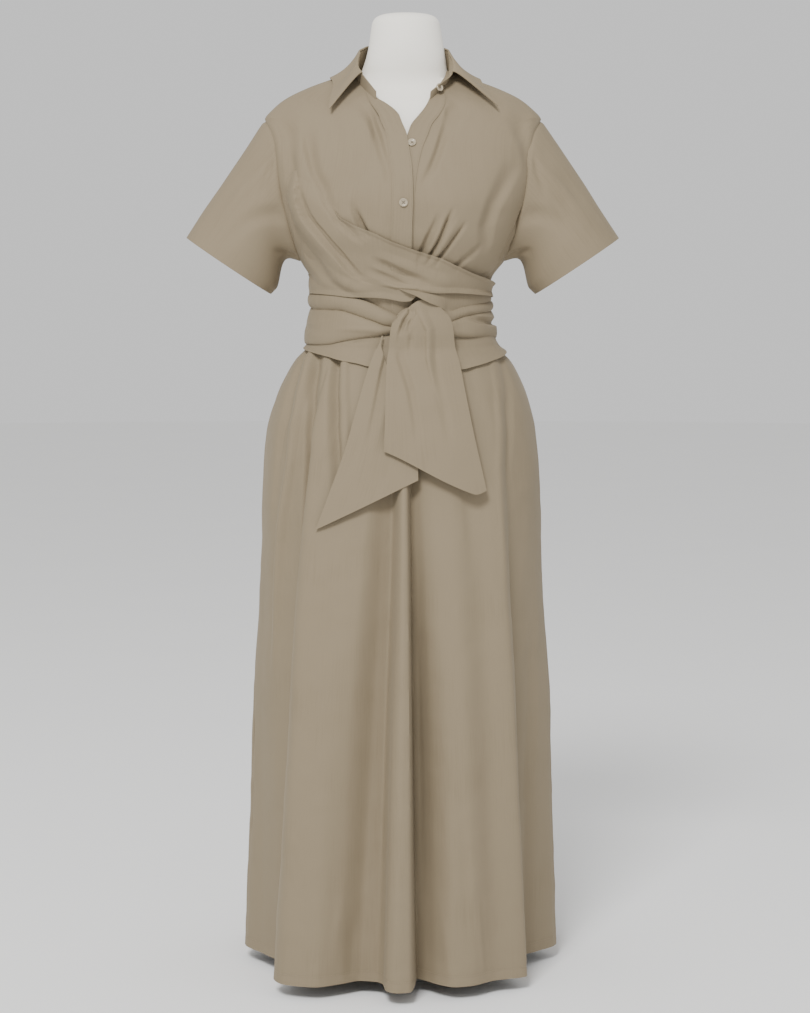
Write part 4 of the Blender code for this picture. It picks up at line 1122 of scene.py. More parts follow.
# %% the wrap panel's edges and creases
WRAP_FRONT = table(Strip, [
    (-90.5, .957, .992),
    (-84, .957, .994),
    (-79, .9575, 1.002),
    (-75, .958, 1.018),
    (-72, .958, 1.036),
    (-68.5, .9582, 1.076),
    (-65, .958, 1.105),
    (-60, .9578, 1.125),
    (-52, .957, 1.116),
    (-45, .956, 1.1),
    (-40.7, .955, 1.0865),
    (-37.5, .9545, 1.068),
    (-34.9, .954, 1.0595),
    (-30.8, .954, 1.0535),
    (-24.6, .954, 1.046),
    (-13.8, .953, 1.0362),
    (-8, .9515, 1.0302),
    (2, .949, 1.0222),
    (7, .95, 1.0185),
    (16, .9638, 1.012),
    (25.1, .962, 1.0058),
    (37.6, .9606, .9954),
    (51.2, .958, .9865),
    (72.1, .954, .9775),
    (90.5, .9512, .9715),
])
WRAP_CREASES = table(Crease, [
    (.015, .008, -.84, [(-62, 1.14, .1), (-58, 1.105, .6), (-56.3, 1.076, .9), (-54.5, 1.06, 1),
        (-51.8, 1.048, 1), (-48.3, 1.036, 1), (-44.5, 1.022, 1), (-40.7, 1.008, .9),
        (-36.9, .995, .7), (-32.3, .983, .45), (-27, .975, .2), (-19, .97, 0)]),
    (.006, -.0044, 0, [(-57, 1.11, 0), (-53.8, 1.078, .7), (-52, 1.063, 1), (-49, 1.051, 1),
        (-45.3, 1.039, 1), (-41.5, 1.025, 1), (-37.6, 1.011, .9), (-33.5, .998, .7),
        (-29, .986, .4), (-24, .979, 0)]),
    (.009, -.0034, 0, [(-38, 1.062, 0), (-34, 1.05, 1), (-28, 1.036, .8), (-22, 1.026, 0)]),
    (.009, -.0042, .3, [(-52, 1.126, 1), (-50.5, 1.118, 1), (-44.3, 1.092, 1), (-41.3, 1.074, .8),
        (-37, 1.058, .4), (-33, 1.045, 0)]),
    (.009, -.004, 0, [(-20, 1.004, 0), (-12, .998, 1), (2.2, .985, 1), (21.7, .973, 0)]),
    (.008, -.0032, 0, [(-24, .993, 0), (-14.2, .985, 1), (-.7, .975, 1), (12, .97, 0)]),
    (.01, .003, 0, [(-16, 1.012, 0), (-2, 1, 1), (16, .986, 1), (36, .975, 0)]),
    (.012, .0036, 0, [(-52, 1, 0), (-44, .982, 1), (-32, .967, 1), (-16, .961, 0)]),
    (.014, -.0036, 0, [(-66, 1.05, 0), (-60, 1.01, 1), (-50, .985, .8), (-38, .972, 0)]),
    (.006, -.0014, 0, [(-85, .986, 0), (-80, .983, 1), (-72, .98, 0)]),
    (.0045, .003, 0, [(-16, .974, 0), (-4, .9705, 1), (12, .969, .6), (40, .965, 0)]),
])

# %% wrap panel
# Each pair is where, or how high, a change starts and how far it takes.
WRAP_FREE = (-41.5, 7.0)         # the panel's upper edge comes free of the front
WRAP_PART = (-80.0, 26.0)        # and its lower part, at the wearer's right
WRAP_PART_DEPTH = 0.030
WRAP_PART_Z = (0.992, 0.026)
WRAP_OVER_KNOT = 0.006
WRAP_KNOT_Z = (0.990, 0.024)
WRAP_TUCKS_LOST = 0.75           # of the front's tucks, where the panel is free
WRAP_TOP_RIM = (0.0016, 0.0055)  # a rim's height and width
WRAP_LOW_RIM = (0.0014, 0.009)
WRAP_LOW_RIM_MORE = (14.0, 12.0)
WRAP_LOW_RIM_HEIGHT = 0.0026
WRAP_LOW_RIM_END = (86.0, 16.0)
WRAP_ROUND = 0.0025
WRAP_WAVES = [(0.0007, 0.035, 21)]
WRAP_LEFT_END = (76.0, 14.0)
WRAP_LEFT_SINK = 0.45
WRAP_RIGHT_END = (-78.0, 12.0)
WRAP_RIGHT_SINK = 0.60
WRAP_IN = 0.0006


def wrap_lift(angle, z, low, high):
    down = ease((WRAP_LEAVES_Z - z) / (WRAP_LEAVES_Z - WRAP_OVER_Z))
    # left of its free edge the panel and the front are one cloth
    free = grow(angle, *WRAP_FREE)
    inside = np.maximum(free, ease((high - z) / WRAP_PART_DEPTH) * grow(angle, *WRAP_PART))
    inside = np.maximum(inside, shrink(z, *WRAP_PART_Z))
    base = LIFT_WRAP_TOP + (LIFT_WRAP - LIFT_WRAP_TOP) * down
    base = base + WRAP_OVER_KNOT * over_knot(angle) * shrink(z, *WRAP_KNOT_Z)
    folds = relief(WRAP_CREASES, angle, z, metres(z))
    tucks = bodice_lift(angle, z) * (1 - WRAP_TUCKS_LOST * inside) * (1 - down)
    top_height, top_width = WRAP_TOP_RIM
    low_height, low_width = WRAP_LOW_RIM
    low_height = low_height + WRAP_LOW_RIM_HEIGHT * grow(angle, *WRAP_LOW_RIM_MORE)
    rim = top_height * bump((high - z) / top_width) * free
    rim = rim + low_height * bump((z - low) / low_width) * shrink(np.abs(angle), *WRAP_LOW_RIM_END)
    waves = uneven(angle * WRAP_ROUND, z, WRAP_WAVES) * inside
    ends = 1 - WRAP_LEFT_SINK * grow(angle, *WRAP_LEFT_END)
    ends = ends - WRAP_RIGHT_SINK * shrink(angle, *WRAP_RIGHT_END)
    lap = over_lift(angle, z) * (1 - down)
    return -WRAP_IN + lap + (base + WRAP_IN) * inside * ends + folds + tucks + rim + waves

# %% the sash's edges, gathers and creases
SASH_LEFT = table(Strip, [
    (-90.5, .886, .9588),
    (-66.6, .8862, .9588),
    (-52.6, .8877, .9584),
    (-45.9, .8909, .9575),
    (-35.4, .895, .9542),
    (-24.6, .8981, .947),
    (-15.7, .9002, .939),
    (-2, .906, .927),
])
SASH_RIGHT = table(Strip, [
    (-1, .9675, .969),
    (2.8, .9652, .969),
    (8, .9618, .969),
    (13, .9572, .969),
    (20.1, .95, .969),
    (27, .9428, .9688),
    (31, .937, .9685),
    (34.5, .915, .968),
    (38, .8985, .968),
    (49.6, .8964, .967),
    (65, .8973, .962),
    (90.5, .8935, .9585),
])
SASH_BACK = table(Strip, [
    (89.5, .8935, .9708),
    (125, .886, .9695),
    (180, .882, .9685),
    (235, .884, .9665),
    (270.5, .886, .96),
])
# Where one gather of the sash ends and the next starts: a line of (angle, z).
LEFT_GATHERS = [
    [(-90.5, .9385), (-59.6, .9358), (-46.2, .935), (-38.2, .9309), (-29.4, .925), (-20.5, .919),
        (-12.3, .9135), (-2, .911)],
]
RIGHT_GATHERS = [
    [(-1, .9682), (20, .95), (30, .926), (36, .918), (39.8, .9206), (51.1, .9278), (67.1, .9317),
        (90.5, .9344)],
    [(-1, .9686), (20, .954), (30, .938), (36.5, .9339), (46.1, .9389), (62.6, .9439),
        (90.5, .9477)],
]
BACK_GATHERS = [
    [(90, .899), (140, .8965), (200, .901), (270, .9)],
    [(90, .9139), (150, .92), (210, .9165), (270, .912)],
    [(90, .9344), (130, .939), (190, .942), (240, .937), (270, .9385)],
    [(90, .9477), (140, .954), (220, .956), (270, .952)],
]
SASH_LEFT_CREASES = table(Crease, [
    (.008, -.0012, 0, [(-72, .926, 0), (-58, .925, 1), (-42, .924, 0)]),
    (.008, -.0016, 0, [(-88, .911, .6), (-72, .907, 1), (-56, .904, 0)]),
    (.006, .0012, 0, [(-50, .908, 0), (-34, .908, 1), (-16, .907, .6), (-6, .906, 0)]),
])
SASH_RIGHT_CREASES = table(Crease, [
    (.008, -.0064, .25, [(48, .926, 0), (53, .9225, .4), (59.2, .9186, .9), (68.5, .9154, 1),
        (90, .9139, 1)]),
    (.009, -.0012, 0, [(30, .914, 0), (42, .911, 1), (56, .907, 0)]),
])

# %% the sash's side and back stretches
LEFT_ROLLS = (0.0060, 0.0056)    # how far each gather stands out, from the lowest up
RIGHT_ROLLS = (0.0062, 0.0046, 0.0018)
BACK_ROLLS = (0.0022, 0.0030, 0.0036, 0.0030, 0.0022)
BACK_TOP_ROLL = 0.0035
BACK_IN = 0.0005
BACK_BLEND = 26.0        # degrees over which the side rolls pass into the back's
PLY_FROM = 0.78          # above this share of its grid the sash is its under ply
PLY_TURN = 0.08
PLY_DROP = 0.0040
PLY_RISE = 0.030
PLY_BACK = 0.0044
SASH_TOP_Z = 0.968
SASH_TUCK = 0.0030       # its upper edge runs in under the wrap
SASH_TUCK_START = (0.70, 0.30)
TENT_LOST = 0.75         # of the tent over the knot, at the band's upper edge
STRIP_THIN = 1e-4


def sash_left_lift(angle, z, low, high):
    rolls = gathers(LEFT_GATHERS, low, high, LEFT_ROLLS, angle, z)
    small = relief(SASH_LEFT_CREASES, angle, z, metres(z))
    return LIFT_SASH - SASH_IN + rolls + small + sash_waves(angle, z, 31)


def sash_left_place(u, w):
    """The band, then its folded edge, then the ply below that fills the gap over it."""
    first, last = SASH_LEFT[0].angle, SASH_LEFT[-1].angle
    angle = first + (last - first) * u
    low, high = edges_at(SASH_LEFT, angle)
    z = low + (high - low) * np.clip(w / PLY_FROM, 0.0, 1.0)
    lift = sash_left_lift(angle, z, low, high)
    under = np.clip((w - PLY_FROM) / (1 - PLY_FROM), 0.0, 1.0)
    turned = ease(under / PLY_TURN)
    z = z - PLY_DROP * turned + PLY_RISE * under
    return dress(angle, z, lift * (1 - turned) + (LIFT_SASH - PLY_BACK) * turned)


def sash_right_lift(angle, z, low, high):
    rolls = gathers(RIGHT_GATHERS, low, high, RIGHT_ROLLS, angle, z)
    small = relief(SASH_RIGHT_CREASES, angle, z, metres(z))
    above = np.clip((z - low) / np.maximum(SASH_TOP_Z - low, STRIP_THIN), 0.0, 1.0)
    tent = OVER_KNOT * over_knot(angle) * (1 - TENT_LOST * above)
    tent = tent - SASH_TUCK * grow(above, *SASH_TUCK_START)
    band = LIFT_SASH - SASH_IN + rolls * (1 - over_knot(angle))
    return band + tent + small + sash_waves(angle, z, 32)


def sash_back_lift(angle, z, low, high):
    """The rolls of both sides run on into the back's own."""
    rolls = gathers(BACK_GATHERS, low, high, BACK_ROLLS, angle, z)
    back = LIFT_SASH - SASH_IN + rolls + sash_waves(angle, z, 33)
    side, top = SASH_RIGHT[-1], WRAP_FRONT[-1]
    left_side = sash_right_lift(np.minimum(angle, side.angle), z, low, 0 * z + side.high)
    t = np.clip((z - top.low) / (top.high - top.low), 0.0, 1.0)
    left_side = left_side + BACK_TOP_ROLL * rounded(t)
    side = SASH_LEFT[0]
    right_side = sash_left_lift(np.maximum(angle - 360.0, side.angle), z, low, 0 * z + side.high)
    at_left = shrink(angle, 90.0 + BACK_BLEND, BACK_BLEND)
    at_right = ease((angle - 270.0 + BACK_BLEND) / BACK_BLEND)
    return back * (1 - at_left - at_right) + left_side * at_left + right_side * at_right - BACK_IN

# %% the sash's lowest turn
SASH_LOW = table(Strip, [
    (-102, .893, .901),
    (-90, .8815, .9),
    (-62.4, .8732, .901),
    (-50.3, .8688, .903),
    (-41.7, .865, .905),
    (-31.4, .8614, .903),
    (-23.1, .8571, .8995),
    (-10, .854, .899),
    (10, .851, .899),
    (25, .8515, .899),
    (40, .8531, .905),
    (47.1, .857, .907),
    (58.6, .8625, .908),
    (71.9, .868, .906),
    (90, .8755, .903),
    (102, .8935, .902),
])
SASH_LOW_CREASES = table(Crease, [
    (.004, -.0012, 0, [(-38, .889, 0), (-33, .89, 1), (-24, .893, 0)]),
    (.006, -.002, 0, [(88, .896, 1), (83, .885, 1), (78, .873, 0)]),
    (.009, -.001, 0, [(-70, .884, 0), (-58, .88, 1), (-44, .877, 0)]),
    (.009, -.001, 0, [(46, .88, 0), (56, .878, 1), (68, .88, 0)]),
])
LOW_BAND = 0.0042        # a hidden turn lies under it in the middle
LOW_BAND_AT = -1.0
LOW_BAND_REACH = 16.0
LOW_EDGE = 0.0008
LOW_EDGE_REACH = 0.006
LOW_FLARE = 0.0020       # it stands off the skirt at the wearer's left
LOW_FLARE_FROM = (52.0, 20.0)
LOW_FLARE_TO = (96.0, 10.0)
LOW_END = 0.0018
LOW_END_FROM = (84.0, 12.0)
LOW_WAVES = [(0.0005, 0.025, 34)]


def sash_low_lift(angle, z, low, high):
    hidden_band = LOW_BAND * bump((angle - LOW_BAND_AT) / LOW_BAND_REACH)
    flare = LOW_FLARE * grow(angle, *LOW_FLARE_FROM) * shrink(angle, *LOW_FLARE_TO)
    small = relief(SASH_LOW_CREASES, angle, z, metres(z))
    round_edge = LOW_EDGE * bump((z - low) / LOW_EDGE_REACH)
    ends = -LOW_END * grow(np.abs(angle), *LOW_END_FROM)
    waves = uneven(angle * SASH_ROUND, z, LOW_WAVES)
    return LIFT_LOW + hidden_band + flare + small + round_edge + ends + waves


cloth("sash_low", strip(SASH_LOW, sash_low_lift), 150, 30, (0.42, 0.05))
cloth("sash_left_side", sash_left_place, 110, 84, (0.21, 0.12))
cloth("sash_right_side", strip(SASH_RIGHT, sash_right_lift), 105, 64, (0.20, 0.09))
cloth("sash_back", strip(SASH_BACK, sash_back_lift), 170, 70, (0.34, 0.10))
cloth("wrap_front", strip(WRAP_FRONT, wrap_lift), 236, 114, (0.45, 0.18))

# %% the sash's free ends
TailRow = namedtuple("TailRow", "left_x left_z right_x right_z out")
TAIL_FRONT = table(TailRow, [
    (.0082, .9384, .0553, .9345, .019),
    (-.001, .931, .06, .93, .0225),
    (-.008, .924, .064, .924, .0245),
    (-.015, .916, .0672, .915, .0248),
    (-.0175, .9033, .069, .904, .0238),
    (-.019, .8845, .0705, .888, .0205),
    (-.0222, .8604, .077, .864, .0175),
    (-.0235, .82, .085, .823, .015),
    (-.0245, .78, .096, .77, .0135),
    (-.0258, .745, .1135, .6936, .0125),
])
TAIL_REAR = table(TailRow, [
    (-.029, .9, -.027, .9, .01),
    (-.0322, .8893, -.0298, .889, .012),
    (-.0385, .878, -.0262, .874, .0125),
    (-.0435, .866, -.0215, .86, .012),
    (-.049, .85, -.005, .83, .0095),
    (-.0633, .801, .016, .785, .0062),
    (-.0789, .7456, .019, .75, .0056),
    (-.0987, .6913, .0205, .718, .0054),
    (-.1187, .6383, .0207, .706, .0056),
])
# The front tail's lower edge drops towards its corner on the viewer's right.
TAIL_CORNER_DROP = 0.013
TAIL_CORNER_AT = 0.87
TAIL_CORNER_REACH = 0.17
# A tail's creases lie in metres across from the middle and up from the floor.
TAIL_FRONT_CREASES = table(Crease, [
    (.0045, -.0042, 0, [(.009, .94, .6), (.0101, .93, 1), (.002, .92, 1), (-.0015, .911, .8),
        (-.0053, .9, 0)]),
    (.004, -.003, 0, [(.015, .943, .4), (.015, .93, 1), (.009, .916, .8), (.006, .902, 0)]),
    (.004, .0026, 0, [(.004, .935, .5), (-.003, .922, 1), (-.0085, .905, .6), (-.011, .886, 0)]),
    (.006, -.0028, 0, [(.0126, .913, 0), (.011, .895, 1), (.01, .878, 0)]),
    (.0085, .005, .3, [(.0231, .932, .4), (.034, .908, 1), (.0345, .87, 1), (.042, .84, .8),
        (.0498, .82, .4), (.0577, .786, 0)]),
    (.008, -.0035, .2, [(-.006, .885, 0), (-.0045, .8705, .7), (.0096, .8267, 1), (.0172, .78, .5),
        (.02, .75, 0)]),
    (.009, -.0036, 0, [(.04, .89, 0), (.044, .85, 1), (.056, .8, .8), (.064, .75, 0)]),
])
TAIL_REAR_CREASES = table(Crease, [
    (.007, -.0038, .2, [(-.018, .89, 1), (-.028, .85, 1), (-.04, .79, .6), (-.05, .745, 0)]),
    (.008, .0022, 0, [(-.01, .87, 0), (-.022, .81, 1), (-.04, .74, 0)]),
])
TAIL_ARCH = 0.013        # the front tail's head bends up under the band
TAIL_ARCH_DEPTH = 0.22
TAIL_CLEAR = 0.009       # the tails hang straight, clear of the skirt's folds
TAIL_CLEAR_Z = 0.62
TAIL_SEEK_LIMIT = 0.99
TAIL_SEEK_STEPS = 8
TAIL_WAVES = [(0.0007, 0.030, 41)]


def tail(rows, creases, corner_drop=0.0, arch=0.0):
    steps = np.arange(len(rows))

    def at_row(name, w):
        return curve(steps, column(rows, name), w * (len(rows) - 1))

    def place(u, w):
        left_x, left_z = at_row("left_x", w), at_row("left_z", w)
        x = left_x + (at_row("right_x", w) - left_x) * u
        z = left_z + (at_row("right_z", w) - left_z) * u
        reach = np.where(u < TAIL_CORNER_AT, TAIL_CORNER_AT, TAIL_CORNER_REACH)
        z = z - corner_drop * np.maximum(0.0, 2 * w - 1) ** 3 * bump((u - TAIL_CORNER_AT) / reach)
        z = z + arch * 4 * u * (1 - u) * ease(1 - w / TAIL_ARCH_DEPTH)
        share = np.clip(x / between(FIGURE, "z", "half_width", z), -TAIL_SEEK_LIMIT, TAIL_SEEK_LIMIT)
        angle = np.degrees(np.arcsin(share))
        for _ in range(TAIL_SEEK_STEPS):
            smooth = ring(FIGURE, angle, z)
            angle = angle + np.degrees((x - smooth[..., 0]) / np.abs(smooth[..., 1]))
        points = ring(FIGURE, angle, z)
        points[:, 0] = x
        clear = TAIL_CLEAR * ease((WAIST_Z - z) / (WAIST_Z - TAIL_CLEAR_Z))
        folds = relief(creases, x, z) + uneven(x, z, TAIL_WAVES)
        points[:, 1] -= at_row("out", w) + clear + folds
        return points

    return place


front_tail = tail(TAIL_FRONT, TAIL_FRONT_CREASES, TAIL_CORNER_DROP, TAIL_ARCH)
cloth("tail_rear", tail(TAIL_REAR, TAIL_REAR_CREASES), 48, 110, (0.12, 0.27))
cloth("tail_front", front_tail, 64, 150, (0.12, 0.28))

# %% the knot
KNOT_CENTRE = np.array((0.018, -0.1090, 0.9215))
KNOT_RADII = np.array((0.030, 0.0095, 0.0190))
KNOT_TWIST = 1.1         # the cloth winds round as it crosses the knot
KNOT_ROLLS = (0.07, 5.0)         # how high, and how many round
KNOT_CREASES = (0.05, 7.0)
KNOT_SLANT = 2.0


def knot():
    """A tight bundle: a ball whose skin is creased by the cloth wound round it."""
    bm = bmesh.new()
    bmesh.ops.create_uvsphere(bm, u_segments=72, v_segments=40, radius=1.0, calc_uvs=False)
    for vert in bm.verts:
        co = np.array(vert.co)
        twist = math.atan2(co[2], co[0]) + KNOT_TWIST * co[0]
        crease = abs(math.sin(KNOT_CREASES[1] * twist + KNOT_SLANT * co[1]))
        folds = 1.0 + KNOT_ROLLS[0] * math.cos(KNOT_ROLLS[1] * twist) - KNOT_CREASES[0] * crease
        vert.co = Vector(KNOT_CENTRE + co * KNOT_RADII * np.array((folds, 1.0, folds)))
    settle(link("knot_cloth", shade(mesh_from(bm, "knot_cloth", "poplin"))), "poplin", "knot")


knot()

# %% [markdown]
# ## Stitching
# Hem, cuffs and button bands are topstitched.  Each row is one mesh of short
# threads, laid just above the cloth, because a drawn line would catch no light.

# %% rows of stitches
hem_w = HEM_DEPTH / (WAIST_Z - HEM_Z)
cuff_w = 1 - CUFF_HEM / SLEEVE_LENGTH
HEM_LINE = [((0.0, hem_w), (1.0, hem_w))]
CUFF_LINE = [((0.0, cuff_w), (1.0, cuff_w))]
BAND_LINES = [((0.93, 0.02), (0.93, 0.97)), ((0.08, 0.02), (0.08, 0.97))]
for name in ("front", "back"):
    stitches(f"hem_stitches_{name}", f"skirt_{name}", HEM_LINE)
for name, side in SIDES:
    flip = side < 0
    arm, placket = f"sleeve_{name}", f"placket_{name}"
    stitches(f"cuff_stitches_{name}", arm, CUFF_LINE, flip)
    stitches(f"band_stitches_{name}", placket, BAND_LINES, flip, BAND_STITCH_LIFT)

# %% [markdown]
# ## Buttons
# Four-hole shirt buttons with a raised rim, sewn on with crossed thread.  They
# are cast and turned, so their profile is spun.  The holes are not cut: a thin
# dark disc in the thread's colour sits in each hole's place as painted shade.

# %% buttons
BUTTON_RADIUS = 0.0058
BUTTON_HEIGHT = 0.0022
# A profile runs from the middle of the underside round to the middle on top,
# as shares of the button's radius and height.
BUTTON_PROFILE = [
    (0.0, 0.0), (0.86, 0.0), (0.97, 0.18), (1.0, 0.45), (0.97, 0.80), (0.90, 0.96),
    (0.82, 1.0), (0.74, 0.92), (0.66, 0.68), (0.55, 0.60), (0.0, 0.58),
]
BUTTON_FACE = 0.60
BUTTON_STEPS = 48
BUTTON_SHARP = 60.0
HOLE_OFFSET = 0.24
HOLE_RADIUS = 0.11
HOLE_DEPTH = 0.0002
TIE_RISE = 0.0003        # the thread that crosses between the holes
TIE_RADIUS = 0.00035
TIE_LENGTH = 2.9
MERGE = 1e-6


def spun(profile, steps):
    """A body turned from (radius, z) pairs."""
    bm = bmesh.new()
    verts = [bm.verts.new((radius, 0.0, z)) for radius, z in profile]
    edges = [bm.edges.new(pair) for pair in zip(verts, verts[1:])]
    bmesh.ops.spin(
        bm, geom=verts + edges, cent=(0, 0, 0), axis=(0, 0, 1), angle=math.tau, steps=steps, use_merge=True)
    bmesh.ops.remove_doubles(bm, verts=bm.verts, dist=MERGE)
    bmesh.ops.recalc_face_normals(bm, faces=bm.faces)
    return bm


def button(name, seat, outward, node):
    profile = [(radius * BUTTON_RADIUS, rise * BUTTON_HEIGHT) for radius, rise in BUTTON_PROFILE]
    bm = spun(profile, BUTTON_STEPS)
    top = BUTTON_FACE * BUTTON_HEIGHT
    offset = HOLE_OFFSET * BUTTON_RADIUS
    # painted shade: each hole is a thin disc in the dark thread colour, not a cut hole
    dark = set()
    for x in (-1, 1):
        for y in (-1, 1):
            spot = Matrix.Translation((x * offset, y * offset, top))
            dark |= rod(bm, HOLE_RADIUS * BUTTON_RADIUS, HOLE_DEPTH, 14, spot)
    for turn in (45.0, -45.0):
        spot = Matrix.Translation((0, 0, top + TIE_RISE)) @ Matrix.Rotation(math.radians(turn), 4, "Z")
        spot = spot @ Matrix.Rotation(math.radians(90.0), 4, "Y")
        dark |= rod(bm, TIE_RADIUS, TIE_LENGTH * HOLE_OFFSET * BUTTON_RADIUS, 8, spot)
    for face in dark:
        face.material_index = 1
    turn = Vector(outward).to_track_quat("Z", "Y").to_matrix().to_4x4()
    bm.transform(Matrix.Translation(Vector(seat)) @ turn)
    mesh = shade(mesh_from(bm, name, "shell_button", "button_thread_and_hole_shade"), BUTTON_SHARP)
    settle(link(name, mesh), "button", node)


def seat_on_front(x, z, lift):
    x, z = np.array([x]), np.array([z])
    angle = front_angle(x, z)
    return dress(angle, z, lift)[0], normals(angle, z)[0]


OVER_BUTTON = (0.0008, 1.0784)   # x and z
UNDER_BUTTON = (0.0122, 1.1597)
TOP_BUTTON = (STAND_END + 11.0, 0.60)   # angle, and how far up the stand
TOP_BUTTON_FACES = Vector((0.62, -0.75, 0.25)).normalized()
TOP_BUTTON_OUT = 0.0010

seat, outward = seat_on_front(*OVER_BUTTON, OVERLAP_LIFT + BAND_LIFT + 0.0011)
button("button_over_band", seat, outward, "button_1")
seat, outward = seat_on_front(*UNDER_BUTTON, BAND_LIFT + 0.0009)
button("button_under_band", seat, outward, "button_2")
seat = stand_point(*(np.array([value]) for value in TOP_BUTTON))[0]
button("button_top", seat + np.array(TOP_BUTTON_FACES) * TOP_BUTTON_OUT, TOP_BUTTON_FACES, "button_3")

# %% [markdown]
# ## The dress form
# A limbless padded torso with a flat-topped neck, on a tube pole and a round
# steel plate.  One ring is extruded from section to section, so that the cover
# runs without a seam from below the waist to the neck's cap.

# %% form
FORM = table(Section, [
    (.5, .148, .1, .108, 2.3, -.003),
    (.56, .158, .103, .114, 2.3, -.003),
    (.64, .163, .105, .12, 2.3, -.003),
    (.73, .154, .101, .117, 2.3, -.003),
    (.8, .138, .094, .104, 2.3, -.003),
    (.885, .112, .084, .08, 2.3, -.003),
    (.93, .108, .084, .078, 2.3, -.003),
    (.965, .111, .09, .083, 2.3, -.002),
    (1, .126, .105, .089, 2.3, -.001),
    (1.05, .146, .117, .096, 2.3, 0),
    (1.1, .158, .112, .101, 2.3, 0),
    (1.15, .169, .094, .101, 2.3, 0),
    (1.185, .172, .076, .095, 2.3, 0),
    (1.199, .17, .0675, .091, 2.3, 0),
    (1.2125, .166, .059, .0875, 2.3, 0),
    (1.2266, .156, .047, .083, 2.3, 0),
    (1.2406, .118, .03, .076, 2.3, 0),
    (1.2548, .064, .03, .064, 2, .001),
    (1.27, .0585, .035, .056, 2, .0025),
    (1.285, .055, .0385, .053, 2, .004),
    (1.3, .052, .0405, .051, 2, .0045),
    (1.32, .049, .04, .049, 2, .0042),
    (1.331, .047, .0385, .047, 2, .004),
    (1.338, .043, .035, .043, 2, .004),
    (1.342, .036, .029, .036, 2, .004),
    (1.3442, .025, .02, .025, 2, .004),
    (1.345, .011, .009, .011, 2, .004),
])
FORM_STEPS = 96
FORM_SIDES = np.linspace(0.500, 1.330, 90)
FORM_CAP = 1.331 + 0.014 * np.sin(np.linspace(0.0, math.pi / 2, 14))
FORM_SHARP = 45.0
STEEL_SHARP = 35.0
POLE_PROFILE = [(0.0, 0.0103), (0.012, 0.0103), (0.012, 0.4997), (0.0, 0.4997)]
BASE_PROFILE = [(0.0, 0.0), (0.1142, 0.0), (0.115, 0.0008), (0.115, 0.0085), (0.1135, 0.010), (0.0, 0.010)]


def form_torso():
    heights = np.concatenate([FORM_SIDES, FORM_CAP])
    bm = bmesh.new()
    bmesh.ops.create_circle(bm, segments=FORM_STEPS, radius=1.0)
    angles = np.array([math.degrees(math.atan2(v.co.x, -v.co.y)) for v in bm.verts])
    foot = edges = list(bm.edges)
    current = list(bm.verts)
    for height in heights:
        if height > heights[0]:
            grown = bmesh.ops.extrude_edge_only(bm, edges=edges)["geom"]
            fresh = {v for v in grown if isinstance(v, bmesh.types.BMVert)}
            edges = [e for e in grown if isinstance(e, bmesh.types.BMEdge) and set(e.verts) <= fresh]
            current = [next(iter({e.other_vert(v) for e in v.link_edges} & fresh)) for v in current]
        for vert, spot in zip(current, ring(FORM, angles, np.full(FORM_STEPS, height))):
            vert.co = spot
    bmesh.ops.contextual_create(bm, geom=edges)
    bmesh.ops.contextual_create(bm, geom=foot)
    bmesh.ops.recalc_face_normals(bm, faces=bm.faces)
    mesh = shade(mesh_from(bm, "form_torso_cover", "form_cover"), FORM_SHARP)
    settle(link("form_torso_cover", mesh), "form_cover", "form_torso")


def turned(name, profile, node):
    """A turned steel piece from (radius, z) pairs."""
    mesh = shade(mesh_from(spun(profile, 72), name, "steel"), STEEL_SHARP)
    settle(link(name, mesh), "steel", node)


form_torso()
turned("form_pole_tube", POLE_PROFILE, "form_pole")
turned("form_base_plate", BASE_PROFILE, "form_base")

# %% [markdown]
# ## What each piece was cut to
# The flat sizes are a pattern cutter's estimate of what shows: width and
# length of the smallest rectangle, and the cut's own area inside it.

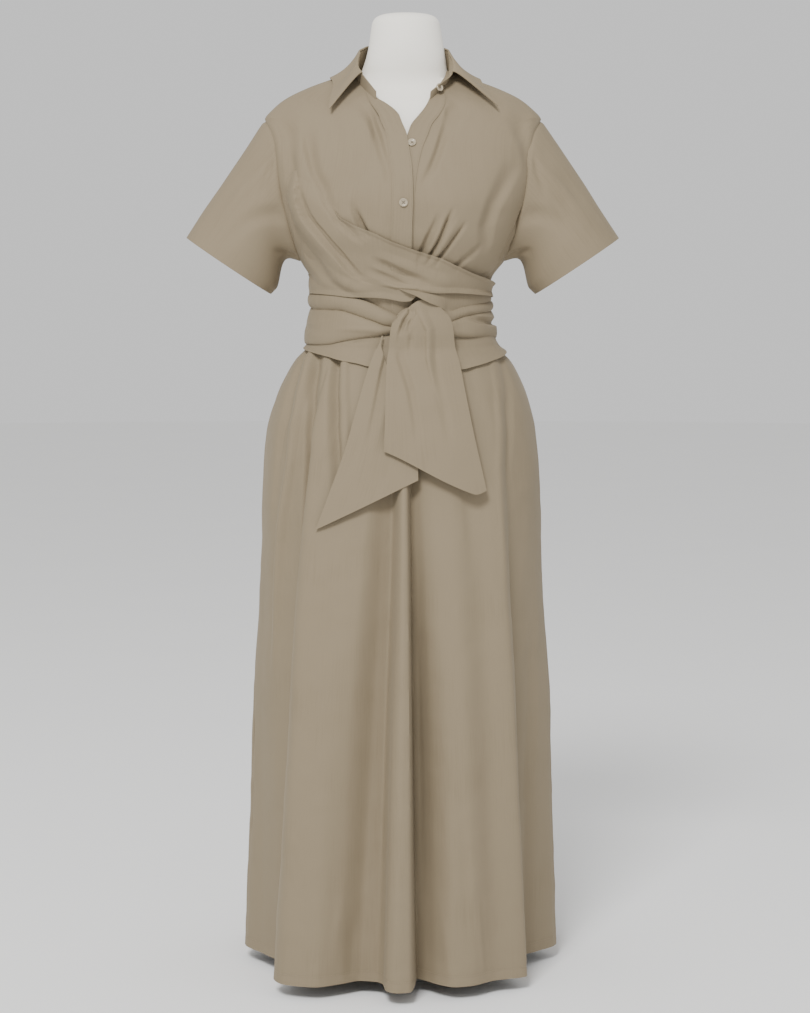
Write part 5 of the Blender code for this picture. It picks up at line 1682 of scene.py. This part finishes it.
Cut = namedtuple("Cut", "node width length area held rests_on")
RIGHT_FRONT, LEFT_FRONT, BACK = "bodice_front_right_cloth", "bodice_front_left_cloth", "bodice_back_cloth"
CUTS = table(Cut, [
    ("skirt_front", 0.86, 0.90, 0.620, "hung", [RIGHT_FRONT, LEFT_FRONT]),
    ("skirt_back", 0.88, 0.90, 0.606, "hung", [BACK]),
    ("bodice_front_right", 0.26, 0.40, 0.076, "draped", ["form_torso_cover"]),
    ("bodice_front_left", 0.26, 0.40, 0.076, "draped", ["form_torso_cover"]),
    ("bodice_back", 0.42, 0.42, 0.153, "draped", ["form_torso_cover"]),
    ("placket_right", 0.028, 0.365, None, "draped", [RIGHT_FRONT]),
    ("placket_left", 0.028, 0.365, None, "draped", [LEFT_FRONT]),
    ("sleeve_right", 0.40, 0.20, 0.060, "hung", [RIGHT_FRONT]),
    ("sleeve_left", 0.40, 0.20, 0.060, "hung", [LEFT_FRONT]),
    ("collar_stand", 0.34, 0.028, 0.0086, "draped", [BACK]),
    ("collar_leaf", 0.44, 0.070, 0.0220, "folded", ["collar_stand_cloth"]),
    ("wrap_front", 0.42, 0.17, 0.034, "draped", [RIGHT_FRONT, LEFT_FRONT]),
    ("sash_low", 0.36, 0.050, None, "gathered", ["skirt_front_cloth"]),
    ("sash_left_side", 0.21, 0.095, 0.0186, "gathered", ["sash_low_cloth"]),
    ("sash_right_side", 0.18, 0.085, 0.0115, "gathered", ["sash_low_cloth"]),
    ("sash_back", 0.33, 0.110, 0.0325, "gathered", [BACK]),
    ("tail_rear", 0.12, 0.28, 0.0172, "hung", ["knot_cloth"]),
    ("tail_front", 0.13, 0.29, 0.0260, "hung", ["knot_cloth"]),
])
for cut in CUTS:
    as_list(cut.rests_on)
print("sheets:", len(CUTS))

# %% [markdown]
# ## Studio
# A white sweep, one large soft lamp in front, above and a little to the left,
# and even white light from all round.  The camera stands at hip height, 3.2 m
# away, looking slightly down.

# %% floor, light and camera
SWEEP_RADIUS = 14.0
SURROUND = 0.82          # strength of the light from all round
LAMP_PLACE = (-1.05, -4.15, 4.60)
LAMP_AIM = (0.0, 0.0, 0.80)
LAMP_SIDE = 1.5
LAMP_POWER = 345.0
CAMERA_PLACE = (0.0028, -3.18, 0.955)
CAMERA_TILT = 5.36
CAMERA_LENS = 80.0
CAMERA_SENSOR = 36.0


def studio():
    bm = bmesh.new()
    bmesh.ops.create_circle(bm, cap_ends=True, segments=96, radius=SWEEP_RADIUS)
    floor = link("studio_floor", mesh_from(bm, "studio_floor", "studio_floor"))
    world = bpy.data.worlds.new("studio")
    world.use_nodes = True
    sockets(world.node_tree.nodes["Background"], Color=(1.0, 1.0, 1.0, 1.0), Strength=SURROUND)
    bpy.context.scene.world = world


def lamp():
    data = bpy.data.lights.new("key", "AREA")
    data.shape = "RECTANGLE"
    data.size = data.size_y = LAMP_SIDE
    data.energy = LAMP_POWER
    light = link("key", data)
    light.location = LAMP_PLACE
    light.rotation_euler = (Vector(LAMP_AIM) - Vector(LAMP_PLACE)).to_track_quat("-Z", "Y").to_euler()


def photo_camera():
    data = bpy.data.cameras.new("camera")
    data.lens = CAMERA_LENS
    data.sensor_width = CAMERA_SENSOR
    camera = link("camera", data)
    camera.location = CAMERA_PLACE
    camera.rotation_euler = (math.radians(90.0 - CAMERA_TILT), 0.0, 0.0)
    bpy.context.scene.camera = camera


studio()
lamp()
photo_camera()
